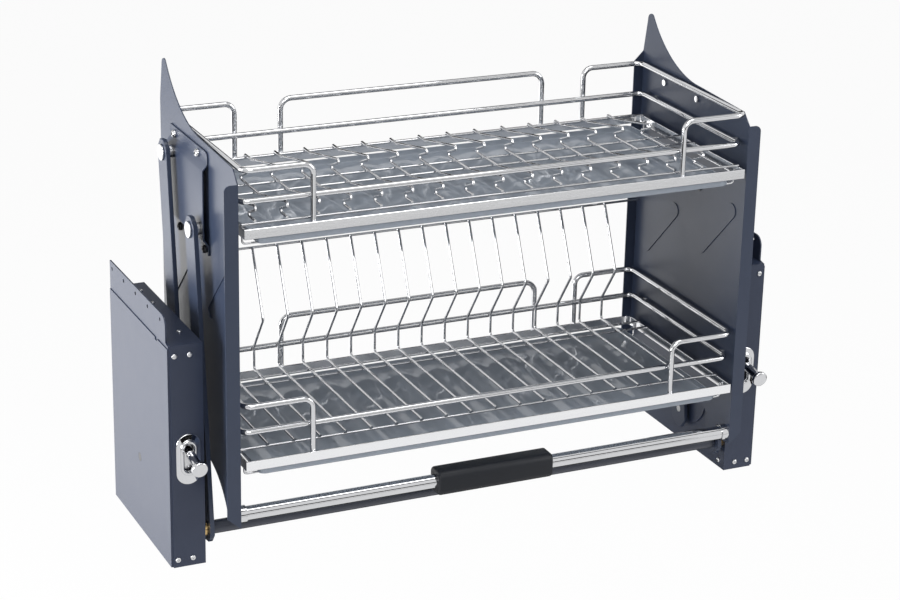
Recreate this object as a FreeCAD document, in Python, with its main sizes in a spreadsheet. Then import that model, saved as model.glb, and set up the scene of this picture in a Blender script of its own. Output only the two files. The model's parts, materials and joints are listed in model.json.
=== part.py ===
import FreeCAD, Part
import math
import os
import re

import Sketcher

# Pull-down dish rack for the wall cabinet over a sink.
#
# Two spring boxes are screwed to the side walls of the cabinet. On each side a front and a rear arm join
# the box to a side panel, and the two panels carry a bowl basket, a plate basket and the pull handle.
# The frame is +X right seen from the front, +Y to the cabinet's back wall and +Z up. The origin is on the
# bottom of the boxes, in the middle of the width and of the depth.
#
# The left-hand pieces are drawn in (reach, rise): how far a point stands forward of the boxes' back, and
# how far above their bottom. Their third direction points outboard. The right-hand pieces mirror them.

SIZES = {
    # whole rack
    "overall_width": 864.0,
    "overall_depth": 301.0,
    "slip": 0.3,
    "running": 0.05,
    # spring box, made of sheet
    "box_depth": 241.0,
    "box_rise": 305.0,
    "box_thick": 46.2,
    "case_sheet": 2.0,
    "case_slope": 5.0,
    "cover_sheet": 1.2,
    "cover_under": 4.0,
    "notch_from_front": 45.0,
    "notch_wide": 9.0,
    "notch_deep": 3.0,
    "plate_sheet": 2.0,
    "edge_margin": 1.0,
    "flange_over": 35.0,
    "flange_from_front": 11.0,
    "flange_corner": 14.0,
    "flange_hole_over": 26.0,
    "flange_hole_first": 10.0,
    "flange_hole_pitch": 50.0,
    "flange_hole_radius": 2.5,
    "tab_deep": 31.0,
    "tab_high": 20.0,
    "tab_low_margin": 7.0,
    "tab_top_back": 20.0,
    "tab_top_from_front": 29.0,
    "boss_reach": 135.0,
    "boss_rise": 86.0,
    "boss_radius": 50.0,
    "boss_proud": 2.3,
    "plug_reach": 116.0,
    "plug_rise": 105.0,
    "plug_radius": 6.0,
    "plug_grip": 2.0,
    # screws that hold the case to the tabs of the mounting plate
    "screw_radius": 2.0,
    "screw_long": 6.0,
    "screw_head_radius": 3.6,
    "screw_head_high": 2.0,
    "screw_in": 17.2,
    "screw_out": 37.2,
    "screw_low": 10.5,
    "screw_under_top": 14.0,
    "screw_top_back": 36.0,
    "screw_top_middle": 85.4,
    "screw_top_from_front": 45.0,
    "screw_top_in": 15.2,
    "screw_side_from_front": 15.0,
    "screw_side_rise": 10.0,
    # spring adjuster in the front of each box
    "escutcheon_in": 4.6,
    "escutcheon_wide": 33.0,
    "escutcheon_rise": 149.7,
    "escutcheon_high": 69.4,
    "escutcheon_thick": 2.0,
    "rim_wide": 22.0,
    "rim_high": 48.0,
    "rim_thick": 3.0,
    "slot_wide": 13.0,
    "slot_high": 38.0,
    "slot_rise": 152.0,
    "stem_exit_rise": 161.0,
    "slider_wide": 22.0,
    "slider_high": 46.0,
    "slider_sheet": 4.0,
    "strap_wide": 12.0,
    "lug_thick": 8.0,
    "anchor_from_front": 15.0,
    "anchor_rise": 78.0,
    "anchor_pin_radius": 4.0,
    "anchor_pin_long": 30.0,
    "lever_tilt": 10.0,
    "stem_radius": 5.0,
    "knob_from": 9.5,
    "knob_neck_radius": 6.0,
    "knob_neck_long": 31.7,
    "knob_radius": 10.6,
    "knob_thick": 6.5,
    # linkage
    "front_pivot_from_front": 16.0,
    "front_pivot_rise": 41.0,
    "rear_pivot_reach": 121.0,
    "rear_pivot_rise": 112.5,
    "arm_lean": 7.0,
    "arm_link": 394.0,
    "arm_from_box": 12.4,
    "arm_thick": 5.9,
    "arm_wide": 34.0,
    "arm_end": 17.0,
    "arm_chamfer": 11.0,
    "rear_tail": 86.0,
    "tube_radius": 9.0,
    "tube_wall": 1.5,
    "journal_radius": 6.0,
    "journal_inside": 18.0,
    "journal_plug_radius": 7.2,
    "washer_thick": 2.0,
    "bush_radius": 10.0,
    "bush_wall": 2.0,
    "bush_inside": 6.0,
    "crank_radius": 60.0,
    "crank_pin_radius": 5.0,
    "crank_pin_long": 49.0,
    "crank_slot_play": 1.5,
    "swing": 105.0,
    "coil_radius": 7.0,
    "coil_apart": 15.0,
    "coil_clear": 15.0,
    "tongue_wide": 12.0,
    "tongue_thick": 2.4,
    "buffer_radius": 5.0,
    "buffer_long": 6.0,
    # side panels
    "panel_from_box": 29.3,
    "panel_sheet": 1.5,
    "panel_front": 296.0,
    "panel_back": 4.0,
    "scoop_reach": 161.0,
    "scoop_radius": 102.0,
    "scoop_rise": 17.0,
    "toe_back": 251.0,
    "toe_rise": 68.0,
    "panel_corner_rise": 523.0,
    "panel_shoulder_rise": 539.5,
    "panel_shoulder_reach": 280.0,
    "panel_dip_reach": 150.0,
    "panel_dip_rise": 544.0,
    "panel_sweep_radius": 170.0,
    "tip_front_reach": 27.0,
    "tip_front_rise": 611.0,
    "tip_back_reach": 13.0,
    "tip_back_rise": 603.0,
    "tip_radius": 9.0,
    "front_flange": 18.4,
    "front_flange_low": 83.0,
    "front_flange_corner": 8.0,
    "back_flange": 14.2,
    "back_flange_top": 556.0,
    "rib_deep": 1.2,
    "rib_wide": 21.0,
    "rib_long": 125.0,
    "rib_front_reach": 229.0,
    "rib_front_rise": 361.0,
    "rib_back_reach": 79.0,
    "rib_back_rise": 316.0,
    # brackets between the panels and the arms
    "bracket_sheet": 2.0,
    "bracket_corner": 8.0,
    "bracket_proud": 8.6,
    "bracket_back": 50.0,
    "bracket_front": 192.0,
    "bracket_top": 534.0,
    "bracket_step_top": 519.0,
    "bracket_plane_top": 511.0,
    "bracket_plane_low": 420.0,
    "bracket_foot_top": 411.0,
    "bracket_low": 399.0,
    "bracket_screw_rise": 525.5,
    "bracket_screw_back": 70.0,
    "bracket_screw_front": 160.0,
    "button_radius": 5.5,
    "screw_head_tall": 5.0,
    "bolt_head_tall": 3.6,
    "nut_radius": 4.5,
    "nut_high": 2.6,
    "bracket_bolt_rise": 405.0,
    "bracket_bolt_back": 84.0,
    "bracket_bolt_front": 180.0,
    "upper_pin_radius": 5.0,
    "upper_pin_head": 11.0,
    "upper_pin_washer": 2.5,
    "spacer_radius": 8.0,
    "upper_pin_play": 0.25,
    # baskets: a flat bar frame, round rails and loops, and welded rods
    "basket_from_panel": 5.7,
    "frame_bar_high": 12.8,
    "frame_bar_thick": 2.5,
    "frame_corner": 12.0,
    "frame_back": 13.5,
    "upper_frame_rise": 453.8,
    "lower_frame_rise": 147.0,
    "rail_radius": 3.75,
    "rail_bend": 11.0,
    "leg_bend": 15.0,
    "leg_sunk": 10.0,
    "weld_gap": 0.2,
    "loop_leg_from_side": 91.8,
    "loop_back_from_side": 156.8,
    "upper_loop_over": 72.8,
    "lower_loop_over": 71.4,
    "upper_rail_over": 31.0,
    "lower_rail_over": 34.2,
    "stud_radius": 3.0,
    "stud_from_end": 25.0,
    "rod_radius": 1.75,
    "wire_radius": 1.9,
    "upper_front_rod": 286.0,
    "upper_rod_first": 137.5,
    "upper_rod_second": 172.5,
    "upper_back_rod": 26.5,
    "lower_front_rod": 265.0,
    "lower_rod_first": 46.0,
    "lower_rod_second": 70.0,
    # bowl wires, two saw teeth each
    "bowl_wires": 16.0,
    "bowl_first_margin": 18.8,
    "bowl_last_margin": 57.3,
    "tooth_run": 100.0,
    "tooth_back": 24.0,
    "tooth_high": 19.0,
    "tooth_start": 45.0,
    "tooth_second": 144.0,
    "tooth_nose": 4.6,
    "hook_drop": 4.5,
    "bowl_front": 287.0,
    # plate wires
    "plate_wires": 18.0,
    "plate_foot": 23.2,
    "plate_front": 268.0,
    "plate_first_margin": 41.0,
    "plate_last_margin": 53.7,
    "plate_knee_rise": 198.5,
    "plate_lean_rise": 250.0,
    "plate_lean_reach": 59.5,
    "plate_top_rise": 340.0,
    "plate_top_reach": 18.5,
    # drip trays on their hangers
    "tray_from_side": 18.8,
    "tray_front": 296.0,
    "tray_back": 20.0,
    "tray_deep": 9.0,
    "tray_wall": 2.0,
    "tray_drop": 0.8,
    "tray_corner": 10.0,
    "tray_ripples": 12.0,
    "tray_ripple_high": 0.8,
    "tray_ripple_wide": 9.0,
    "hanger_radius": 1.4,
    "hanger_from_side": 28.8,
    "hanger_up": 8.0,
    "hanger_first": 34.0,
    "hanger_front": 281.0,
    # handle
    "handle_reach": 284.3,
    "handle_rise": 82.0,
    "handle_radius": 9.5,
    "handle_wall": 1.5,
    "handle_collar_radius": 11.5,
    "handle_collar_long": 9.0,
    "handle_collar_floor": 2.0,
    "grip_long": 166.0,
    "grip_high": 34.0,
    "grip_deep": 33.0,
    "grip_round": 9.0,
}

doc = FreeCAD.newDocument("PullDownDishRack")
sheet = doc.addObject("Spreadsheet::Sheet", "Sizes")
for row, (alias, number) in enumerate(SIZES.items(), start=1):
    sheet.set(f"A{row}", alias)
    sheet.set(f"B{row}", str(number))
    sheet.setAlias(f"B{row}", alias)
doc.recompute()


def cells(text):
    """The expression with each size's name read from the sheet."""
    return re.sub(r"[a-z][a-z_]*", lambda word: ("Sizes." if word[0] in SIZES else "") + word[0], str(text))


def amount(text):
    """The number that an expression on the sheet's sizes gives now."""
    found = sheet.evalExpression(cells(text).replace("Sizes.", ""))
    return float(getattr(found, "Value", found))


def bind(item, prop, text):
    item.setExpression(prop, cells(text))


# Where the left-hand pieces stand. Their first axis runs forward, their second up, their third outboard.
FORWARD = FreeCAD.Rotation(FreeCAD.Matrix(0, 0, -1, 0, -1, 0, 0, 0, 0, 1, 0, 0, 0, 0, 0, 1))
BACK_PLANE = "overall_depth / 2"


def place_left(item, inboard):
    """Put a left-hand piece's own origin on the back plane, at a distance from the middle of the rack."""
    item.Placement = FreeCAD.Placement(FreeCAD.Vector(), FORWARD)
    bind(item, "Placement.Base.x", f"-({inboard})")
    bind(item, "Placement.Base.y", BACK_PLANE)


def new_body(label):
    body = doc.addObject("PartDesign::Body", label)
    body.Label = label
    return body


def origin_plane(body, role):
    return next(item for item in body.Origin.OriginFeatures if item.Role == role)


def locate(sketch, geometry, end, across, up):
    """Fix a point of the sketch at its distances from the sketch's origin."""
    for kind, text in (("DistanceX", across), ("DistanceY", up)):
        number = sketch.addConstraint(Sketcher.Constraint(kind, -1, 1, geometry, end, amount(text)))
        sketch.setExpression(f"Constraints[{number}]", cells(text))


def arc_between(start, finish, radius, turn):
    """The short arc of a circle from start to finish, its centre to the left (turn 1) or right (turn -1)."""
    middle = (start + finish) / 2
    chord = finish - start
    radius = radius or chord.Length / 2
    off = math.sqrt(max(radius**2 - (chord.Length / 2) ** 2, 0.0))
    normal = FreeCAD.Vector(-chord.y, chord.x, 0).normalize()
    centre = middle + normal * off * turn
    circle = Part.Circle(centre, FreeCAD.Vector(0, 0, 1), radius)
    first, second = (start, finish) if turn > 0 else (finish, start)
    angles = [math.atan2(p.y - centre.y, p.x - centre.x) for p in (first, second)]
    if angles[1] < angles[0]:
        angles[1] += 2 * math.pi
    return Part.ArcOfCircle(circle, angles[0], angles[1])


def fix_arc(sketch, geometry, corner, following):
    """Give an arc its radius, or where it is a half circle, put its centre midway between its ends."""
    if corner[2]:
        kind, text = "Radius", corner[2]
        number = sketch.addConstraint(Sketcher.Constraint(kind, geometry, amount(text)))
    else:
        chord = [amount(following[n]) - amount(corner[n]) for n in (0, 1)]
        axis = 0 if abs(chord[1]) > abs(chord[0]) else 1
        kind, text = ("DistanceX", "DistanceY")[axis], f"(({corner[axis]}) + ({following[axis]})) / 2"
        number = sketch.addConstraint(Sketcher.Constraint(kind, -1, 1, geometry, 3, amount(text)))
    sketch.setExpression(f"Constraints[{number}]", cells(text))


def draw(body, name, corners, plane="XY_Plane", lift=None, closed=True, support=None):
    """A sketch of lines and arcs.

    Each corner is (across, up), or (across, up, radius, turn) where an arc runs from it to the next one.
    A radius of None makes it a half circle.
    """
    sketch = body.newObject("Sketcher::SketchObject", name)
    if support:
        sketch.AttachmentSupport = [support]
        sketch.MapMode = "NormalToEdge"
    else:
        sketch.AttachmentSupport = [(origin_plane(body, plane), "")]
        sketch.MapMode = "FlatFace"
    if lift:
        bind(sketch, "AttachmentOffset.Base.z", lift)
    points = [FreeCAD.Vector(amount(c[0]), amount(c[1]), 0) for c in corners]
    count = len(corners) if closed else len(corners) - 1
    ends = []
    for k in range(count):
        start, finish = points[k], points[(k + 1) % len(points)]
        if len(corners[k]) == 4:
            radius = corners[k][2] and amount(corners[k][2])
            arc = arc_between(start, finish, radius, corners[k][3])
            ends.append((sketch.addGeometry(arc), *((1, 2) if corners[k][3] > 0 else (2, 1))))
        else:
            ends.append((sketch.addGeometry(Part.LineSegment(start, finish)), 1, 2))
    for k, (geometry, start, finish) in enumerate(ends):
        locate(sketch, geometry, start, corners[k][0], corners[k][1])
        if closed or k + 1 < count:
            after, after_start, _ = ends[(k + 1) % count]
            sketch.addConstraint(Sketcher.Constraint("Coincident", geometry, finish, after, after_start))
        else:
            locate(sketch, geometry, finish, corners[-1][0], corners[-1][1])
        if len(corners[k]) == 4:
            fix_arc(sketch, geometry, corners[k], corners[(k + 1) % len(corners)])
    return sketch


def add_circle(sketch, across, up, radius):
    centre = FreeCAD.Vector(amount(across), amount(up), 0)
    geometry = sketch.addGeometry(Part.Circle(centre, FreeCAD.Vector(0, 0, 1), amount(radius)))
    locate(sketch, geometry, 3, across, up)
    number = sketch.addConstraint(Sketcher.Constraint("Radius", geometry, amount(radius)))
    sketch.setExpression(f"Constraints[{number}]", cells(radius))


def regular(across, up, radius, sides, turn=0):
    """The corners of a regular outline round a point, its first corner at an angle in degrees."""
    corners = []
    for number in range(sides):
        angle = turn + number * 360 / sides
        corners.append((f"({across}) + ({radius}) * cos({angle})", f"({up}) + ({radius}) * sin({angle})"))
    return corners


def around(radius, sides):
    """The corner radius of a regular outline whose flats touch a circle."""
    return f"(({radius}) / cos({180 / sides}))"


def add_outline(sketch, corners):
    """Add a closed outline of straight lines to a sketch."""
    points = [FreeCAD.Vector(amount(across), amount(up), 0) for across, up in corners]
    first = sketch.GeometryCount
    for number, point in enumerate(points):
        sketch.addGeometry(Part.LineSegment(point, points[(number + 1) % len(points)]))
    for number, corner in enumerate(corners):
        after = first + (number + 1) % len(points)
        locate(sketch, first + number, 1, *corner)
        sketch.addConstraint(Sketcher.Constraint("Coincident", first + number, 2, after, 1))


def circles(body, name, places, plane="XY_Plane", lift=None):
    """A sketch of circles, each (across, up, radius), or (across, up, radius, sides) where it has sides."""
    sketch = body.newObject("Sketcher::SketchObject", name)
    sketch.AttachmentSupport = [(origin_plane(body, plane), "")]
    sketch.MapMode = "FlatFace"
    if lift:
        bind(sketch, "AttachmentOffset.Base.z", lift)
    for place in places:
        if len(place) == 4:
            add_outline(sketch, regular(*place))
        else:
            add_circle(sketch, *place)
    return sketch


def pad(body, sketch, length, backwards=False):
    feature = body.newObject("PartDesign::Pad", sketch.Name + "Pad")
    feature.Profile = sketch
    feature.Reversed = backwards
    bind(feature, "Length", length)
    return feature


def pocket(body, sketch, length, backwards=False):
    """Cut a sketch into the body; backwards cuts along the sketch's normal. Raises where nothing is cut."""
    doc.recompute()
    before = body.Shape.Volume
    feature = body.newObject("PartDesign::Pocket", sketch.Name + "Pocket")
    feature.Profile = sketch
    feature.Reversed = backwards
    bind(feature, "Length", length)
    doc.recompute()
    if body.Shape.Volume >= before:
        raise RuntimeError(f"{feature.Name} cuts nothing")
    return feature


def box_of(low_x, high_x, low_y, high_y):
    """The corners of a rectangle between expressions."""
    return [(low_x, low_y), (high_x, low_y), (high_x, high_y), (low_x, high_y)]


# A slot's end is drawn with this many chords.
END_CHORDS = 6


def slot_outline(across, up, wide, long, angle):
    """The corners of a slot with round ends, its length turned from the first axis by an angle in degrees."""
    half = f"(({long}) - ({wide})) / 2"
    side = f"({wide}) / 2"
    corners = []
    for way in (1, -1):
        for number in range(END_CHORDS + 1):
            turn = f"({angle} + {way * 90 - 90 - 90 + number * 180 / END_CHORDS})"
            x = f"{across} + {way} * {half} * cos({angle}) + {side} * cos({turn})"
            y = f"{up} + {way} * {half} * sin({angle}) + {side} * sin({turn})"
            corners.append((x, y))
    return corners


SUB_PARTS = []


def keep(item, label):
    """Mark an object as a sub-part: its label names its file."""
    item.Label = label
    SUB_PARTS.append(item)
    return item


def keep_both(item, name):
    """Keep a left-hand piece and its mirror image on the right."""
    keep(item, "left_" + name)
    mirror = doc.addObject("Part::Mirroring", "Right" + item.Name)
    mirror.Source = item
    mirror.Base = FreeCAD.Vector()
    mirror.Normal = FreeCAD.Vector(1, 0, 0)
    return keep(mirror, "right_" + name)


def keep_group(items, label, mirrored=True):
    """Keep loose solids as one group, with their mirror images on the other side."""
    group = doc.addObject("Part::Compound", "Group" + label.title().replace("_", ""))
    group.Links = items
    if mirrored:
        mirror = doc.addObject("Part::Mirroring", group.Name + "Mirror")
        mirror.Source = group
        mirror.Base = FreeCAD.Vector()
        mirror.Normal = FreeCAD.Vector(1, 0, 0)
        both = doc.addObject("Part::Compound", group.Name + "Both")
        both.Links = [group, mirror]
        group = both
    return keep(group, label)


# The number of faces that a small round piece is given.
ROUND_SIDES = 12


def prism(name, sides, radius, low, high):
    item = doc.addObject("Part::Prism", name)
    item.Polygon = sides
    bind(item, "Circumradius", radius)
    bind(item, "Height", high)
    bind(item, "Placement.Base.z", low)
    return item


def set_at(item, at):
    """Put a left-hand piece at (reach, rise, inboard)."""
    reach, rise, inboard = at
    bind(item, "Placement.Base.x", f"-({inboard})")
    bind(item, "Placement.Base.y", f"{BACK_PLANE} - ({reach})")
    bind(item, "Placement.Base.z", rise)


def outboard_prism(name, at, radius, low, high, sides=ROUND_SIDES):
    """A round piece with faces, its axis outboard, from a height over a place on the left."""
    item = prism(name, sides, radius, "0", high)
    item.setExpression("Placement.Base.z", None)
    item.Placement = FreeCAD.Placement(FreeCAD.Vector(), FORWARD)
    set_at(item, (at[0], at[1], f"{at[2]} + {low}"))
    return item


def outboard_rod(name, at, radius, low, high):
    """A truly round piece, its axis outboard, from a height over a place on the left."""
    item = doc.addObject("Part::Cylinder", name)
    bind(item, "Radius", radius)
    bind(item, "Height", high)
    item.Placement = FreeCAD.Placement(FreeCAD.Vector(), FORWARD)
    set_at(item, (at[0], at[1], f"{at[2]} + {low}"))
    return item


def fused(name, items):
    joined = doc.addObject("Part::MultiFuse", name)
    joined.Shapes = items
    return joined


def bored(name, item, bore):
    cut = doc.addObject("Part::Cut", name)
    cut.Base = item
    cut.Tool = bore
    return cut


# A screw's hole is six-sided, and its head hides it: (radius to its corners, sides).
SCREW_HOLE = 6
LOOSE_HOLE = (around("screw_radius + slip", SCREW_HOLE), SCREW_HOLE)
THREAD_HOLE = (around("screw_radius + running", SCREW_HOLE), SCREW_HOLE)


# How the pieces stand outboard of each other, and forward from the back.
BOX_INNER = "(overall_width / 2 - box_thick)"
MOUNT_OUTER = "(overall_width / 2 - cover_sheet)"
MOUNT_INNER = f"({MOUNT_OUTER} - plate_sheet)"
ARM_INNER = f"({BOX_INNER} - arm_from_box)"
ARM_OUTER = f"({ARM_INNER} + arm_thick)"
PANEL_INNER = f"({BOX_INNER} - panel_from_box)"
PANEL_OUTER = f"({PANEL_INNER} + panel_sheet)"
BRACKET_OUTER = f"({PANEL_OUTER} + bracket_proud)"
BASKET_SIDE = f"({PANEL_INNER} - basket_from_panel)"
LOWER_FRONT = ("(box_depth - front_pivot_from_front)", "front_pivot_rise")
LOWER_REAR = ("rear_pivot_reach", "rear_pivot_rise")
UPPER_FRONT, UPPER_REAR = (
    (f"({reach} - arm_link * sin(arm_lean))", f"({rise} + arm_link * cos(arm_lean))")
    for reach, rise in (LOWER_FRONT, LOWER_REAR)
)


# The side panel: one bent sheet, swept down from its rounded tip and scooped out over the spring box.
def panel():
    body = new_body("Panel")
    low_back = "scoop_rise + scoop_radius"
    toe_back_rise = "scoop_rise + sqrt(scoop_radius ^ 2 - (toe_back - scoop_reach) ^ 2)"
    sheet_outline = draw(
        body,
        "PanelSheet",
        [
            ("panel_back", low_back),
            ("scoop_reach", low_back, "scoop_radius", -1),
            ("toe_back", toe_back_rise),
            ("panel_front", "toe_rise"),
            ("panel_front", "panel_corner_rise"),
            ("panel_shoulder_reach", "panel_shoulder_rise"),
            ("panel_dip_reach", "panel_dip_rise", "panel_sweep_radius", -1),
            ("tip_front_reach", "tip_front_rise", "tip_radius", 1),
            ("tip_back_reach", "tip_back_rise"),
            ("panel_back", "back_flange_top"),
        ],
    )
    pad(body, sheet_outline, "panel_sheet")
    flange = draw(
        body,
        "FrontFlange",
        [
            ("toe_rise", "0"),
            ("toe_rise", "panel_sheet"),
            ("front_flange_low", "front_flange"),
            ("panel_corner_rise - front_flange_corner", "front_flange", "front_flange_corner", -1),
            ("panel_corner_rise", "front_flange - front_flange_corner"),
            ("panel_corner_rise", "0"),
        ],
        "YZ_Plane",
        "panel_front - panel_sheet",
    )
    pad(body, flange, "panel_sheet")
    back = draw(
        body,
        "BackFlange",
        [
            (low_back, "panel_sheet"),
            (f"{low_back} + back_flange / 2", "-back_flange"),
            ("back_flange_top - back_flange", "-back_flange"),
            ("back_flange_top", "0"),
            ("back_flange_top", "panel_sheet"),
        ],
        "YZ_Plane",
        "panel_back",
    )
    pad(body, back, "panel_sheet")
    for end in ("front", "back"):
        centre = (f"rib_{end}_reach", f"rib_{end}_rise")
        raised = draw(body, f"Rib{end}", slot_outline(*centre, "rib_wide", "rib_long", "45"))
        pad(body, raised, "rib_deep", backwards=True)
        hollow = slot_outline(*centre, "rib_wide - 2 * panel_sheet", "rib_long - 2 * panel_sheet", "45")
        pocket(body, draw(body, f"Hollow{end}", hollow, lift="panel_sheet"), "rib_deep")
    holes = bracket_holes()
    holes.append(("handle_reach", "handle_rise", *LOOSE_HOLE))
    pocket(body, circles(body, "BracketHoles", holes, lift="panel_sheet"), "panel_sheet")
    place_left(body, PANEL_INNER)
    return keep_both(body, "panel")



def bracket_holes():
    """The four holes that the panel and its bracket share."""
    places = []
    for kind in ("screw", "bolt"):
        for end in ("back", "front"):
            places.append((f"bracket_{kind}_{end}", f"bracket_{kind}_rise", *LOOSE_HOLE))
    return places


# The bracket: a joggled sheet that stands off the panel and carries both upper pivots.
def bracket():
    body = new_body("Bracket")
    s = "bracket_sheet"
    side = draw(
        body,
        "BracketSide",
        [
            ("bracket_top", "0"),
            ("bracket_top", s),
            ("bracket_step_top", s),
            ("bracket_plane_top", "bracket_proud"),
            ("bracket_plane_low", "bracket_proud"),
            ("bracket_foot_top", s),
            ("bracket_low", s),
            ("bracket_low", "0"),
            (f"bracket_foot_top + {s} / 2", "0"),
            (f"bracket_plane_low + {s} / 2", f"bracket_proud - {s}"),
            (f"bracket_plane_top - {s} / 2", f"bracket_proud - {s}"),
            (f"bracket_step_top - {s} / 2", "0"),
        ],
        "YZ_Plane",
        "bracket_back",
    )
    pad(body, side, "bracket_front - bracket_back")
    corner = draw(
        body,
        "BracketCorner",
        [
            ("bracket_front", "bracket_top - bracket_corner", "bracket_corner", 1),
            ("bracket_front - bracket_corner", "bracket_top"),
            ("bracket_front + bracket_corner", "bracket_top"),
        ],
        lift=s,
    )
    pocket(body, corner, s)
    fit = around("upper_pin_radius + running", ROUND_SIDES)
    pins = [(*UPPER_FRONT, fit, ROUND_SIDES), (*UPPER_REAR, fit, ROUND_SIDES)]
    pocket(body, circles(body, "BracketPinHoles", pins, lift="bracket_proud"), s)
    pocket(body, circles(body, "BracketScrewHoles", bracket_holes(), lift=s), s)
    place_left(body, PANEL_OUTER)
    return keep_both(body, "bracket")


def along_arm(pivot, far, off):
    """A point of an arm, up its centre line from the lower pivot and off it towards the front."""
    reach = f"{pivot[0]} - ({far}) * sin(arm_lean) + ({off}) * cos(arm_lean)"
    rise = f"{pivot[1]} + ({far}) * cos(arm_lean) + ({off}) * sin(arm_lean)"
    return reach, rise


# The arms: flat bars with cut corners, drawn along their own lean.
def arm(name, pivot, low, holes):
    body = new_body(name)
    half, cut, top = "arm_wide / 2", "arm_chamfer", "(arm_link + arm_end)"
    corners = [
        (f"{low} + {cut}", half),
        (f"{top} - {cut}", half),
        (top, f"{half} - {cut}"),
        (top, f"{cut} - {half}"),
        (f"{top} - {cut}", f"-{half}"),
        (f"{low} + {cut}", f"-{half}"),
        (low, f"{cut} - {half}"),
        (low, f"{half} - {cut}"),
    ]
    outline = draw(body, name + "Outline", [along_arm(pivot, *corner) for corner in corners])
    for far, radius, *sides in holes:
        middle = along_arm(pivot, far, "0")
        if sides:
            add_outline(outline, regular(*middle, radius, *sides))
        else:
            add_circle(outline, *middle, radius)
    pad(body, outline, "arm_thick")
    place_left(body, ARM_INNER)
    return body


# The lower shafts are pressed into their arms, and their bushes into the case.
FIXED_JOURNAL = around("journal_radius", ROUND_SIDES)
BUSH_NECK = "bush_radius - bush_wall"


def front_arm():
    holes = [("0", FIXED_JOURNAL, ROUND_SIDES), ("arm_link", "upper_pin_radius + running")]
    return keep_both(arm("FrontArm", LOWER_FRONT, "-arm_end", holes), "front_arm")


def rear_arm():
    holes = [
        ("0", FIXED_JOURNAL, ROUND_SIDES),
        ("arm_link", "upper_pin_radius + upper_pin_play"),
        ("-crank_radius", "crank_pin_radius + running", ROUND_SIDES),
    ]
    return keep_both(arm("RearArm", LOWER_REAR, "-rear_tail", holes), "rear_arm")


def swung(pivot, radius, degrees):
    """Where a point of the arm's tail stands with the arm swung forward from rest."""
    angle = f"({degrees} - arm_lean)"
    return f"{pivot[0]} - ({radius}) * sin({angle})", f"{pivot[1]} - ({radius}) * cos({angle})"


# Lower pivots: the journals turn in brass bushes that the inner sheet of the case holds.
def lower_pivots():
    through = f"({BOX_INNER} - {ARM_INNER} + case_sheet + bush_inside)"
    at = (*LOWER_FRONT, ARM_INNER)
    plug = outboard_prism("JournalPlug", at, "journal_plug_radius", "-journal_inside", "journal_inside")
    long = f"journal_inside + {through}"
    journal = outboard_rod("FrontJournal", at, "journal_radius", "-journal_inside", long)
    keep_group([fused("FrontJournals", [plug, journal])], "front_pivot_journals")
    at = (*LOWER_REAR, ARM_INNER)
    head = outboard_prism("RearPinHead", at, "bush_radius", "-washer_thick", "washer_thick")
    pin = outboard_rod("RearPin", at, "journal_radius", "-washer_thick", f"washer_thick + {through}")
    keep_both(fused("RearPivotPin", [head, pin]), "rear_pivot_pin")
    at = (*swung(LOWER_REAR, "crank_radius", "0"), ARM_INNER)
    keep_both(outboard_prism("CrankPin", at, "crank_pin_radius", "0", "crank_pin_long"), "crank_pin")
    for name, pivot, collar in (("Front", LOWER_FRONT, "0"), ("Rear", LOWER_REAR, "boss_proud")):
        at = (*pivot, f"{ARM_OUTER} + slip")
        gap = f"({BOX_INNER} - {ARM_OUTER} - slip - ({collar}))"
        long = f"({gap} + {collar} + case_sheet + bush_inside / 2)"
        flange = outboard_prism(name + "BushCollar", at, "bush_radius", "0", gap)
        neck = outboard_prism(name + "BushNeck", at, BUSH_NECK, "0", long)
        bore = outboard_rod(name + "BushBore", at, "journal_radius + running", "0", long)
        bush = bored(name + "Bush", fused(name + "BushBody", [flange, neck]), bore)
        keep_group([bush], name.lower() + "_bushes")


# The tube that makes both front arms swing as one.
def cross_tube():
    return round_tube("cross_tube", "tube_radius", "tube_wall", ARM_INNER, LOWER_FRONT)


def round_tube(label, radius, wall, half, at):
    """A tube across the rack at (reach, rise), to half its length on each side of the middle."""
    name = label.title().replace("_", "")
    outer = doc.addObject("Part::Cylinder", name + "Outer")
    bind(outer, "Radius", radius)
    bind(outer, "Height", f"2 * {half}")
    inner = prism(name + "Bore", ROUND_SIDES, f"{radius} - {wall}", "0", f"2 * {half}")
    for item in (outer, inner):
        lie_across(item, f"-({half})", f"{BACK_PLANE} - {at[0]}", at[1])
    return keep(bored(name, outer, inner), label)


def lie_across(item, start, back, rise):
    """Lay a cylinder along +X from a start."""
    item.Placement = FreeCAD.Placement(FreeCAD.Vector(), FreeCAD.Rotation(FreeCAD.Vector(0, 1, 0), 90))
    bind(item, "Placement.Base.x", start)
    bind(item, "Placement.Base.y", back)
    bind(item, "Placement.Base.z", rise)


# The case: one sheet folded round the mechanism, with a round boss raised on its inner face.
ADJUSTER_IN = "(escutcheon_in + escutcheon_wide / 2)"
ADJUSTER = f"({BOX_INNER} + {ADJUSTER_IN})"
BOSS_SIDES = 24
SLOT_HALF = "(crank_pin_radius + crank_slot_play)"


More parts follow.
